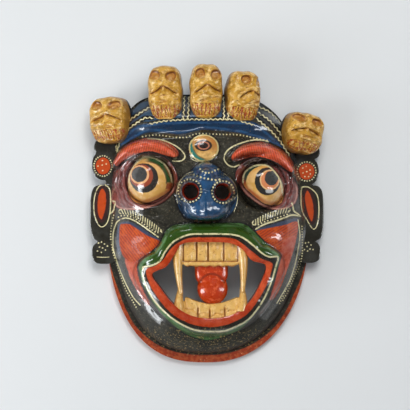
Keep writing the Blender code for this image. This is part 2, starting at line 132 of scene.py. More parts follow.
# Painted shapes on the tracing, each a closed loop
HAIR = (
    (100, 150), (116, 152), (118, 146), (122, 137), (130, 128), (138, 122), (150, 121.5), (165, 120),
    (190, 119), (238, 119), (257, 120), (270, 130), (280, 141), (290, 156), (305, 165), (312, 100),
    (205, 60), (105, 90),
)
NAVY_BAND = (
    (117, 153), (122, 140), (130, 130), (138, 125), (150, 123), (165, 121.5), (190, 120.5), (240, 121),
    (256, 123), (268, 132), (280, 143), (291, 158), (284, 156), (274, 146), (262, 140), (250, 136.5),
    (238, 133), (212, 130), (198, 130.5), (180, 134.5), (160, 132.5), (146, 133), (134, 139), (124, 147),
)
BROWS = (
    ( (114, 160), (120, 150), (130, 143), (140, 139.5), (150, 138), (160, 140), (170, 144),
        (177, 150), (178.5, 154), (176, 157), (168, 156), (159, 153), (150, 151), (140, 152.5),
        (130, 157), (122, 162), (117, 166), (114.5, 164), ),
    ( (231.5, 157), (236, 150), (243, 145), (253, 142.5), (262, 142), (272, 145), (283, 151),
        (290, 158), (294, 166), (292, 172), (287, 170), (278, 163), (268, 158.5), (258, 156.5),
        (250, 157), (240, 160), (234, 161), ),
)
LIDS = (
    ( (110, 176), (116, 169), (122, 165), (130, 159), (138, 155), (148, 153.5), (158, 155),
        (168, 160.5), (175, 170), (177.5, 181), (174, 191), (164, 201), (150, 207.5), (136, 210),
        (120, 209), (111, 201), (108, 190), ),
    ( (236, 178), (238, 168), (246, 161), (256, 158.5), (266, 160), (276, 165), (286, 171),
        (293, 178), (298, 188), (297, 200), (291, 207), (280, 210), (266, 208), (254, 201),
        (244, 192), ),
)
EYEBALLS = (
    ( (128, 184), (129, 174), (134, 165), (141, 159), (150, 157.5), (160, 160), (167, 167),
        (171.5, 175), (173, 183), (170, 190), (162, 196), (152, 201), (142, 203.5), (134, 201),
        (129.5, 194), ),
    ( (242.5, 180), (244, 173), (249, 168), (256, 165), (264, 164.5), (271, 168), (277, 174),
        (281, 181), (283.5, 190), (283, 198), (280, 203.5), (273, 205), (265, 203.5), (257, 198),
        (250, 192), (245, 187), ),
)
NOSE = (
    (194, 168), (199, 164.5), (208, 163), (216, 166), (222, 172), (230, 178), (236, 187), (237.5, 198),
    (235, 207), (230, 214), (224, 218.5), (206, 219.5), (188, 218.5), (182, 213), (178, 205), (176, 196),
    (177.5, 187), (182, 179), (189, 173.5),
)
CHEEKS = (
    ( (120, 226), (124, 224), (130, 224.5), (140, 231), (150, 237), (160.5, 241.5), (157, 246),
        (150, 252), (141, 258), (134, 263), (128, 261), (122, 254), (119.5, 242), ),
    ( (297.5, 222), (285, 225), (270, 228), (255, 232), (262, 240), (273, 248), (280, 256),
        (279, 266), (276, 280), (271, 298), (275, 297), (281, 286), (287, 270), (292, 255),
        (296, 240), ),
)
# The red band down each side of the jaw, paled by a painted reflection of the varnish
PINK_SHEEN_BAND = (
    ( (125, 259), (131, 262), (138, 261), (137, 268), (139, 280), (144, 292), (150, 304),
        (147, 304), (139, 294), (131, 279), (127, 268), ),
    ( (284, 240), (295, 236), (293, 250), (288, 266), (281, 283), (275, 297), (270, 299),
        (275, 282), (279, 266), (281, 252), ),
)
GREEN_LIP = (
    (139, 264), (150, 254), (158, 247), (163, 238), (166, 231), (173, 226), (185, 223.5), (207, 223),
    (230, 223), (243, 224), (251, 229), (258, 236), (265, 243), (273, 249), (280, 255), (279, 260),
    (276, 271), (271, 285), (262, 302), (252, 317), (240, 329), (225, 336), (210, 339.5), (200, 338.5),
    (185, 333), (168, 320), (155, 305), (146, 290), (141, 276),
)
CREAM_LIP = (
    (143, 267), (152, 265.5), (160, 261), (165, 252), (172, 243), (180, 238), (190, 234.5), (205, 234),
    (220, 234), (235, 235), (245, 239), (255, 247), (263, 254), (270, 257), (278, 257), (276, 266),
    (272, 280), (265, 297), (256, 311), (247, 320.5), (235, 327), (224, 331), (210, 331.5), (195, 330),
    (180, 323.5), (168, 315), (156, 303), (148, 290), (143, 276),
)
RED_LIP = (
    (146, 270), (155, 266), (163, 260), (170, 250), (178, 243), (190, 238), (210, 237.5), (230, 238),
    (240, 242), (250, 250), (262, 259), (272, 263), (271.5, 270), (268, 282), (260, 297), (250, 311),
    (240, 319), (225, 325), (210, 327), (195, 325), (180, 319), (168, 310), (158, 298), (150, 285),
)
EAR_ALMONDS = (
    ((102, 188), (106, 193), (106.5, 204), (104.5, 214), (101.5, 220), (98, 215), (97, 204), (98.5, 194)),
    ((307, 190), (310.5, 194), (313.5, 204), (314, 215), (312, 222), (308.5, 217), (305.5, 206),
        (304.5, 196)),
)
NAVY_CHEEK = (
    ( (117, 252), (116.5, 235), (118, 226), (121, 222.5), (126, 221.5), (132, 222.5), (140, 227),
        (150, 233.5), (160, 240), (162, 243), (158, 244), (148, 239), (138, 233), (129, 227.5),
        (122, 228), (120.5, 240), (121, 254), ),
    ( (255, 233), (256, 230), (265, 226.5), (275, 223.5), (285, 220.5), (297, 218), (299, 221),
        (297, 224), (286, 227.5), (272, 230.5), (262, 234), (257, 235), ),
)

# Cream lines on the tracing: half width and corners
PLAIN_LINES = (
    (0.65, ((148, 138.5), (158, 139.3), (165, 141), (175, 145.5), (182, 151), (185, 157),
        (181, 161), (173, 161))),
    (0.65, ((268, 141.5), (262, 140), (253, 140), (243, 142.5), (234, 146), (227, 151),
        (224, 158), (227, 164), (233, 167), (239, 165))),
    (0.8, ((134, 166), (136, 163), (141, 159), (147, 157), (155, 158.5), (163, 163), (168, 169),
        (171, 176), (172, 182))),
    (0.45, ((129, 188), (129, 178), (131, 171), (134, 166))),
    (0.8, ((243, 182), (243.5, 176), (246, 171), (254, 166), (265, 165), (272, 169), (280, 180),
        (283, 195))),
    (0.6, ((113, 250), (113, 235), (115, 226), (118, 221), (125, 218), (132, 219.5), (140, 224),
        (150, 231), (158, 237))),
    (0.75, ((256, 229), (265, 224), (275, 221), (285, 217.5), (292, 215), (300, 216))),
    (0.55, ((113, 248), (114, 252), (118, 265), (125, 282), (133, 297), (140, 305))),
    (0.55, ((298, 220), (300, 235), (298, 250), (295, 265), (290, 280), (283, 293), (277, 303))),
    (0.8, CREAM_LIP + CREAM_LIP[:1]),
    (0.7, ((113, 201), (115, 202), (114.5, 206), (113, 211), (109.5, 214))),
    (0.7, ((292, 203), (293, 207), (294, 211), (298, 214), (300, 216))),
    (0.35, ((177.5, 203), (176.5, 192), (180, 181), (187, 174), (193, 171.5))),
    (0.35, ((234, 212), (237.5, 200), (236.5, 188), (231, 179), (224, 173.5))),
    (0.4, ((192, 153), (191, 158), (196, 161), (203, 161.5))),
    (0.5, ((302, 187), (306, 186.8), (310, 188), (317, 195), (319, 210), (317, 225), (313, 229),
        (307, 220), (302, 210), (301, 195), (302, 187))),
    (0.5, ((104.5, 184), (109.5, 189), (110.5, 198), (110, 212), (107, 223), (101.5, 227),
        (97, 222), (94, 211), (94.5, 197), (98.5, 187), (104.5, 184))),
    (0.35, ((97, 257), (103, 257.3), (109, 257))),
)
ZIGZAGS = (
    ((150, 99), (140, 101), (129, 112), (122, 125), (118, 138), (116, 150)),
    ((150, 107), (140, 113), (130, 120), (124, 127), (118, 146), (117, 150)),
    ((152, 118), (145, 118), (138, 122), (130, 128), (122, 137), (118, 148), (117, 152)),
    ((259, 107), (270, 112), (280, 122), (288, 137)),
    ((259, 113), (270, 121), (280, 133), (287, 145)),
    ((257, 119), (270, 130), (280, 141), (289, 155)),
    ((150, 124), (157, 122.3), (165, 121), (178, 120), (190, 119.5), (215, 119.3), (238, 119.5)),
    ((240.5, 121), (247, 123.3), (253, 124.5)),
    ((184.5, 96), (184, 108), (183.5, 119)),
    ((189, 96), (188.5, 108), (188, 119)),
    ((223.5, 97), (224, 108), (224, 119)),
    ((228, 97), (228.5, 108), (228, 119)),
)
# Rows of dots: radius, spacing and corners
DOT_ROWS = (
    (0.8, 3.4, ((141, 137), (150, 135.5), (158, 135), (172, 137), (185, 137.5), (192, 135),
        (200, 133.5), (212, 134), (231, 134.5), (240, 135), (250, 137), (258, 139),
        (268, 140.5))),
    (1.0, 3.3, ((199, 168), (202, 171), (205, 172.5), (209, 172.7), (212, 172), (216, 170), (219, 169))),
    (1.05, 3.8, ((192, 173.6), (196.4, 175.9), (200.5, 177), (205, 178.2), (209, 179),
        (213, 179.8), (217, 180), (221, 179))),
    (0.75, 2.7, ((114, 214), (112, 222), (111, 230), (111, 240), (113, 252), (117, 265),
        (121, 277), (126, 290), (132, 300), (137, 309))),
    (0.75, 2.7, ((302, 225), (302.5, 243), (302, 256), (299, 268), (293, 280), (288, 291), (282, 302))),
    (0.7, 2.7, ((300, 258), (297, 268), (291, 280), (285, 292), (279, 305))),
    (0.8, 3.2, ((117, 218), (122, 215.5), (128, 216), (134, 218), (141, 222), (148, 227), (155, 232))),
    (0.8, 3.4, ((257, 225.5), (264, 222), (272, 219.5), (281, 216.5), (290, 213.5))),
)
# Rings of dots: middle, half sizes, number and radius
DOT_RINGS = (
    (189.6, 190.7, 11.7, 11.5, 23, 0.95),
    (223.2, 192, 11.1, 11.1, 22, 1.0),
    (103, 166, 9.0, 10.2, 25, 0.8),
    (306.5, 171.5, 9.4, 9.6, 23, 0.8),
)
SPOTS = (
    (98, 166), (102.5, 160.5), (102.3, 165), (106.3, 164), (102.7, 170.5),
    (306.3, 166.3), (302.7, 168), (310, 170), (306.6, 171.7), (303, 173), (310.3, 174), (304.8, 176.5),
    (308.6, 176.6),
    (98.5, 243), (101.5, 242), (104.5, 244), (107.5, 246), (99.5, 247), (102.5, 248), (105.5, 250),
    (97.5, 251),
    (101.3, 252.3), (305.5, 243), (308.6, 242.5), (311, 245), (307, 246.5), (310, 249), (313, 249.5),
    (307.6, 251),
    (304.5, 249.5),
)
# Streaks of whole varnish down both sides of the jaw
VARNISH_STREAKS = (
    ((116, 244), (120, 258), (127, 275), (137, 292), (149, 307), (161, 319)),
    ((298, 244), (295, 258), (289, 273), (281, 289), (272, 304), (264, 315)),
)
# Rows of slanting strokes under the eyes: corners and slant
COMBS = (
    (1, ((121, 211.5), (127, 212), (133, 213.5), (140, 217), (147, 221.5), (154, 226.5), (160, 231.5))),
    (-1, ((254.5, 223), (262, 218.5), (270, 215), (279, 212), (288, 210))),
)


def rim_half_width(y, left):
    """Half width of the face at each height."""
    up = np.clip((y - MIDDLE_Y) / REACH_UP, 0, 1)
    down = np.clip((MIDDLE_Y - y) / REACH_DOWN, 0, 1)
    crown = np.where(left, CROWN_CORNER_LEFT, CROWN_CORNER_RIGHT)
    jaw = np.where(left, JAW_CORNER_LEFT, JAW_CORNER_RIGHT)
    half = np.where(left, HALF_LEFT, HALF_RIGHT)
    return half * (1 - up ** 2) ** crown * (1 - down ** 2) ** jaw


def make_reach_table():
    """Distance from the middle of the face to its rim, round the whole turn."""
    angles = np.linspace(-pi, pi, 1441)
    near = np.zeros_like(angles)
    far = np.full_like(angles, 200.0)
    for _ in range(40):
        half = (near + far) / 2
        x = half * np.cos(angles)
        y = MIDDLE_Y + half * np.sin(angles)
        limit = np.where(
            (y < MIDDLE_Y + REACH_UP) & (y > MIDDLE_Y - REACH_DOWN),
            rim_half_width(y, x < 0),
            0,
        )
        inside = np.abs(x) < limit
        near = np.where(inside, half, near)
        far = np.where(inside, far, half)
    ease = np.hanning(25)
    ring = np.concatenate([near[-13:-1], near, near[1:13]])
    return angles, np.convolve(ring, ease / ease.sum(), mode="valid")


REACH_ANGLES, REACH_VALUES = make_reach_table()


def share_out(x, y):
    """How far out each point lies, from 0 in the middle of the face to 1 on the rim."""
    reach = np.interp(np.arctan2(y - MIDDLE_Y, x), REACH_ANGLES, REACH_VALUES)
    return np.hypot(x, y - MIDDLE_Y) / reach


def swell(x, y, middle_x, middle_y, half_x, half_y, power=1.0):
    """A rounded swelling: 1 in its middle, 0 at its edge and beyond."""
    away = ((x - middle_x) / half_x) ** 2 + ((y - middle_y) / half_y) ** 2
    return np.clip(1 - away, 0, None) ** power


def lift(height, top, share):
    """A surface raised towards a top height by a share from 0 to 1."""
    return height + np.clip(top - height, 0, None) * share


def smooth_line(corners, steps, closed):
    """A smooth line through the corners."""
    points = np.array(corners, float)
    if closed:
        before = np.roll(points, 1, axis=0)
        here = points
        after = np.roll(points, -1, axis=0)
        beyond = np.roll(points, -2, axis=0)
    else:
        wide = np.concatenate([2 * points[:1] - points[1:2], points, 2 * points[-1:] - points[-2:-1]])
        before = wide[:-3]
        here = wide[1:-2]
        after = wide[2:-1]
        beyond = wide[3:]
    t = np.linspace(0, 1, steps, endpoint=False)[None, :, None]
    line = 0.5 * (
        2 * here[:, None]
        + (after - before)[:, None] * t
        + (2 * before - 5 * here + 4 * after - beyond)[:, None] * t ** 2
        + (3 * here - before - 3 * after + beyond)[:, None] * t ** 3
    )
    line = line.reshape(-1, 2)
    return line if closed else np.concatenate([line, points[-1:]])


def distance_outside(x, y, loop):
    """Distance of each point to a closed line, negative inside it."""
    nearest = np.full(x.shape, 1e9)
    inside = np.zeros(x.shape, bool)
    for (ax, ay), (bx, by) in zip(loop, np.roll(loop, -1, axis=0)):
        run_x = bx - ax
        run_y = by - ay
        along = (x - ax) * run_x + (y - ay) * run_y
        along = np.clip(along / (run_x ** 2 + run_y ** 2), 0, 1)
        nearest = np.minimum(nearest, (x - ax - along * run_x) ** 2 + (y - ay - along * run_y) ** 2)
        if ay != by:
            inside ^= ((ay > y) != (by > y)) & (x < run_x * (y - ay) / run_y + ax)
    return np.where(inside, -1, 1) * np.sqrt(nearest)


MOUTH_LOOP = smooth_line(MOUTH, 3, True)


def bowl(y, share):
    """The plain bowl of the face, down to the flat rim that flares out round the jaw."""
    rise = np.clip((y + 62) / 50, 0, 1)
    rise = rise * rise * (3 - 2 * rise)
    near = np.clip(share / (SHOULDER_JAW + (SHOULDER_CROWN - SHOULDER_JAW) * rise), 0, 1)
    return RIM_TOP + (BOWL_TOP - RIM_TOP) * (1 - near ** 2.7) ** 0.55


def brow(x, y, arc):
    """A raised brow along its arc, thinner to both ends."""
    middle_x, middle_y, radius, outer, inner = arc
    angle = np.degrees(np.arctan2(y - middle_y, x - middle_x))
    from_outer = (angle - outer) / (inner - outer)
    inside = np.clip(from_outer, 0, 1)
    end = np.abs(from_outer - inside) * abs(radians(inner - outer)) * radius
    off = np.hypot(np.hypot(x - middle_x, y - middle_y) - radius, end)
    half = 3.0 + 3.2 * np.sin(pi * np.clip(inside * 0.9 + 0.08, 0, 1)) ** 0.7
    return (1 - 0.35 * (1 - inside) ** 2) * np.clip(1 - (off / half) ** 2, 0, None) ** 0.7


def eye(height, x, y, middle, side):
    """The bulging eye with a thick roll of lid round it and folds at its outer corner."""
    dx = (x - middle[0]) * -side
    dy = y - middle[1]
    away = np.hypot(dx, dy)
    outward = np.clip(dx, 0, None)
    ball = (
        EYE_TOP - EYE_RADIUS + np.sqrt(np.clip(EYE_RADIUS ** 2 - away ** 2, 0, None))
        - 0.012 * outward ** 2
    )
    crest = EYE_RADIUS + 3.5
    spread = 7 + 3.5 * np.clip(dx / 26, 0, 1) - 3.5 * np.clip(dy / 24, 0, 1)
    fall = 0.026 * outward ** 2
    ripple = np.cos((away - crest) * 1.5 + 0.9 * np.sin(dy * 0.42))
    folds = 2.1 * ripple * np.clip(dx / 24, 0, 1) * np.clip(1.3 - np.abs(dy) / 22, 0, 1)
    outer_side = lift(
        height, LID_TOP + folds - fall, np.clip(1 - ((away - crest) / spread) ** 2, 0, None) ** 0.6
    )
    inner_side = TROUGH_TOP - fall + (LID_TOP - TROUGH_TOP) * np.clip(1 - ((crest - away) / 4) ** 2, 0, None)
    height = np.where(away < crest, inner_side, outer_side)
    return np.where(away < EYE_RADIUS, np.maximum(ball, TROUGH_TOP - fall), height)


def front(x, y):
    """Height of the carved front above the back rim."""
    share = share_out(x, y)
    height = bowl(y, share)

    # A hollow band under the hair, a fine ridge along its lower edge and the roll of the hair
    ridge_y = 70 + 3 * np.exp(-(((x + 5) / 7) ** 2)) - 0.0011 * x ** 2
    across = np.clip(1.5 - np.abs(x + 2) / 55, 0, 1)
    height = height + across * 1.8 * np.exp(-(((y - ridge_y) / 2.4) ** 2))
    height = height - across * 3.0 * np.exp(-(((y - ridge_y - 8) / 4.6) ** 2))
    height = height + 8 * np.exp(-(((y - 93) / 13) ** 2)) * np.clip((1 - share) * 12, 0, 1)

    # Third eye, cheeks, eyes and brows
    height = height + 5 * swell(x, y, -3.5, 60, 15, 13.5, 0.5)
    height = height + 8 * swell(x, y, -62, -22, 30, 26, 1.2)
    height = height + 8 * swell(x, y, 62, -22, 30, 26, 1.2)
    height = eye(height, x, y, LEFT_EYE, 1)
    height = eye(height, x, y, RIGHT_EYE, -1)
    for arc in (LEFT_BROW, RIGHT_BROW):
        height = lift(height, 64 - 32 * np.clip(share - 0.72, 0, 1), brow(x, y, arc))

    # Snout
    height = lift(height, 78, swell(x, y, -1, 33.5, 14.5, 13.5, 0.55))
    for wing_x, wing_y in NOSTRILS:
        height = lift(height, 92, swell(x, y, wing_x, wing_y, 13.5, 15, 0.55))
    height = lift(height, 87, swell(x, y, -1.5, 23, 9, 17, 0.4))
    across = np.abs((x + 1.5) / (21.5 + 0.18 * (y - 2))) ** 2.6
    along = np.abs((y - 6) / 14.5) ** 3.4
    tip_top = 89 + 3 * np.exp(-(((x + 1.5) / 3.5) ** 2))
    height = lift(height, tip_top, np.clip(1 - across - along, 0, None) ** 0.42)

    # Lips
    outside = distance_outside(x, y, MOUTH_LOOP)
    spread = np.where(outside > 9, 8.5, 14)
    roll = np.clip(1 - ((outside - 9) / spread) ** 2, 0, None) ** 0.6
    fuller = 12 + 5 * np.clip((-60 - y) / 45, 0, 1)
    height = np.where(roll > 0, height + fuller * roll, height)
    return np.maximum(height, RIM_TOP)


def eased_front(x, y, ease):
    """The carved front with its steps worn soft over a small distance."""
    turns = np.linspace(0, 2 * pi, 8, endpoint=False)
    ring = sum(front(x + ease * np.cos(turn), y + ease * np.sin(turn)) for turn in turns)
    return np.where(share_out(x, y) < 0.99, (ring + 2 * front(x, y)) / 10, front(x, y))


def unevenness(x, y):
    """Small waves that the knife left all over the front."""
    broad = np.sin(x * 0.17 + 1.7 * np.sin(y * 0.11)) * np.sin(y * 0.19 + 1.3 * np.sin(x * 0.13))
    small = np.sin(x * 0.53 + 2.1 * np.sin(y * 0.31)) * np.sin(y * 0.61 + 1.9 * np.sin(x * 0.37))
    return 0.28 * broad + 0.12 * small


def back(x, y, inner_share, wall):
    """Height of the hollow behind the face."""
    hollow = (BOWL_TOP - wall - 5) * (1 - np.clip(inner_share, 0, 1) ** 2.6) ** 0.62
    return hollow + 24 * np.exp(-(((x + 1) / 17) ** 2) - ((y - 20) / 19) ** 2)


def traced(points):
    """Where points of the mask, in millimetres as drawn, lie on the painter's tracing."""
    square = TRACE_SQUARE * (1 - points[:, 2] / TRACE_HEIGHT)
    px = TRACE_MIDDLE + (points[:, 0] + TRACE_OFFSET[0] * TRACE_SQUARE) / square
    py = TRACE_MIDDLE - (points[:, 1] - TRACE_OFFSET[1] * TRACE_SQUARE) / square
    return px, py


def follow(px, py, line):
    """Distance along an open line of its nearest place to each point, and the distance across."""
    best = np.full(px.shape, 1e9)
    along = np.zeros(px.shape)
    across = np.zeros(px.shape)
    start = 0.0
    for (ax, ay), (bx, by) in zip(line[:-1], line[1:]):
        run = np.hypot(bx - ax, by - ay)
        if run < 1e-6:
            continue
        ux = (bx - ax) / run
        uy = (by - ay) / run
        t = np.clip((px - ax) * ux + (py - ay) * uy, 0, run)
        off = np.hypot(px - ax - t * ux, py - ay - t * uy)
        side = np.where((px - ax) * uy - (py - ay) * ux < 0, -1, 1)
        near = off < best
        along = np.where(near, start + t, along)
        across = np.where(near, off * side, across)
        best = np.where(near, off, best)
        start += run
    return along, across


# Working on meshes

def only(obj):
    bpy.ops.object.select_all(action="DESELECT")
    obj.select_set(True)
    bpy.context.view_layer.objects.active = obj


def points_of(obj):
    flat = np.empty(len(obj.data.vertices) * 3)
    obj.data.vertices.foreach_get("co", flat)
    return flat.reshape(-1, 3)


def move_points(obj, points):
    obj.data.vertices.foreach_set("co", np.ascontiguousarray(points, float).reshape(-1))
    obj.data.update()


def settle(obj, points):
    """Points in millimetres as drawn go to their place on the mask."""
    move_points(obj, (points + SHIFT) * MM)


def drawn(obj):
    """The mesh's points in millimetres as drawn."""
    return points_of(obj) / MM - SHIFT


def begin(name):
    obj = bpy.context.object
    obj.name = name
    obj.data.name = name
    only(obj)
    return obj


def in_edit_mode(obj, work):
    only(obj)
    bpy.ops.object.mode_set(mode="EDIT")
    bpy.ops.mesh.select_all(action="SELECT")
    work()
    bpy.ops.object.mode_set(mode="OBJECT")


def face_out(obj):
    in_edit_mode(obj, lambda: bpy.ops.mesh.normals_make_consistent(inside=False))


def apply_step(obj, kind, **settings):
    only(obj)
    step = obj.modifiers.new("step", kind)
    for key, value in settings.items():
        setattr(step, key, value)
    bpy.ops.object.modifier_apply(modifier=step.name)


def cut_out(obj, cutter):
    face_out(cutter)
    apply_step(obj, "BOOLEAN", operation="DIFFERENCE", solver="MANIFOLD", object=cutter)
    bpy.data.objects.remove(cutter)


def join(pieces, name):
    bpy.ops.object.select_all(action="DESELECT")
    for piece in pieces:
        piece.select_set(True)
    bpy.context.view_layer.objects.active = pieces[0]
    bpy.ops.object.join()
    return begin(name)


def one_skin(obj, voxel):
    """Shapes that run into each other get one even skin."""
    apply_step(obj, "REMESH", mode="VOXEL", voxel_size=voxel * MM, use_smooth_shade=True)
    apply_step(obj, "SMOOTH", factor=0.5, iterations=2)


def store(obj, name, values, domain="POINT"):
    """Keeps a number, or three, for each point or corner of the mesh."""
    flat = np.ascontiguousarray(values, np.float32)
    kind = "FLOAT" if flat.ndim == 1 else "FLOAT_VECTOR"
    layer = obj.data.attributes.new(name, kind, domain)
    layer.data.foreach_set("value" if kind == "FLOAT" else "vector", flat.reshape(-1))


def hand_over(obj, materials, smooth_angle=40):
    """The finished piece gets its paint and rides on the mask's body in place of the solid."""
    obj.data.materials.clear()
    for material in materials:
        obj.data.materials.append(material)
    only(obj)
    bpy.ops.object.shade_smooth_by_angle(angle=radians(smooth_angle))
    bpy.ops.object.select_all(action="DESELECT")
    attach(obj, "root")
    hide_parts("mask")


# The painter's tracing on a mesh

def field_of(px, py, loops):
    """Distance outside the nearest of the loops, worked out only near them."""
    found = np.full(px.shape, 9.0)
    for corners in loops:
        loop = smooth_line(corners, 4, True)
        near = (
            (px > loop[:, 0].min() - 9) & (px < loop[:, 0].max() + 9)
            & (py > loop[:, 1].min() - 9) & (py < loop[:, 1].max() + 9)
        )
        found[near] = np.minimum(found[near], distance_outside(px[near], py[near], loop))
    return found


def rows_of_dots():
    """Every row, ring and single spot as its line, its radius and its spacing."""
    rows = []
    for radius, spacing, corners in DOT_ROWS:
        rows.append((smooth_line(corners, 4, False), radius, spacing))
    for middle_x, middle_y, half_x, half_y, number, radius in DOT_RINGS:
        turn = np.linspace(0, 2 * pi, 49)
        ring = np.stack([middle_x + half_x * np.cos(turn), middle_y + half_y * np.sin(turn)], axis=1)
        length = np.hypot(*np.diff(ring, axis=0).T).sum()
        rows.append((ring, radius, length / number))
    return rows


def trace_lines(obj, px, py):
    """Corner values from which the paint draws its lines, zigzags, strokes and dots."""
    mesh = obj.data
    starts = np.empty(len(mesh.polygons), np.int32)
    counts = np.empty(len(mesh.polygons), np.int32)
    mesh.polygons.foreach_get("loop_start", starts)
    mesh.polygons.foreach_get("loop_total", counts)
    corner_point = np.empty(len(mesh.loops), np.int32)
    mesh.loops.foreach_get("vertex_index", corner_point)
    corner_face = np.repeat(np.arange(len(counts)), counts)
    cx = px[corner_point]
    cy = py[corner_point]
    face_x = np.bincount(corner_face, cx) / counts
    face_y = np.bincount(corner_face, cy) / counts

    families = {
        "line": [(smooth_line(c, 4, False), half, 0) for half, c in PLAIN_LINES],
        "zigzag": [(smooth_line(c, 4, False), 0.6, 0) for c in ZIGZAGS],
        "comb": [(smooth_line(c, 4, False), slant, 0) for slant, c in COMBS],
        "dots": rows_of_dots(),
    }
    for name, members in families.items():
        nearest = np.full(len(counts), 6.0)
        chosen = np.full(len(counts), -1)
        for number, (line, _, _) in enumerate(members):
            near = np.flatnonzero(
                (face_x > line[:, 0].min() - 6) & (face_x < line[:, 0].max() + 6)
                & (face_y > line[:, 1].min() - 6) & (face_y < line[:, 1].max() + 6)
            )
            _, across = follow(face_x[near], face_y[near], line)
            better = np.abs(across) < nearest[near]
            nearest[near[better]] = np.abs(across[better])
            chosen[near[better]] = number
        values = np.zeros((len(corner_point), 3))
        values[:, 1] = 99
        values[:, 2] = 99
        if name == "dots":
            values[:, 2] = 0
            spot_x = np.array(SPOTS)[:, 0]
            spot_y = np.array(SPOTS)[:, 1]
            to_spot = np.hypot(face_x[:, None] - spot_x, face_y[:, None] - spot_y)
            by_spot = to_spot.min(axis=1) < np.minimum(nearest, 3)
            spot_of = to_spot.argmin(axis=1)
            chosen[by_spot] = -1
            picked = by_spot[corner_face]
            which = spot_of[corner_face[picked]]
            values[picked, 0] = 0.5
            values[picked, 1] = np.hypot(cx[picked] - spot_x[which], cy[picked] - spot_y[which]) / 0.85
        for number, (line, size, spacing) in enumerate(members):
            picked = (chosen == number)[corner_face]
            along, across = follow(cx[picked], cy[picked], line)
            if name == "dots":
                values[picked] = np.stack(
                    [along / spacing, np.abs(across) / size, np.full(along.shape, spacing / size)], axis=1)
            elif name == "line":
                values[picked] = np.stack([along, across / size, np.abs(across) / size], axis=1)
            elif name == "comb":
                values[picked] = np.stack([along, across * size, np.abs(across)], axis=1)
            else:
                values[picked] = np.stack([along, across, np.abs(across)], axis=1)
        store(obj, name, values, "CORNER")


# Paint

def linear(colour):
    """A colour as seen on a page, as the light it returns."""
    c = np.array(colour[:3], float)
    c = np.where(c <= 0.04045, c / 12.92, ((c + 0.055) / 1.055) ** 2.4)
    return (*c.tolist(), 1.0)


def rgb(red, green, blue):
    return linear((red / 255, green / 255, blue / 255))


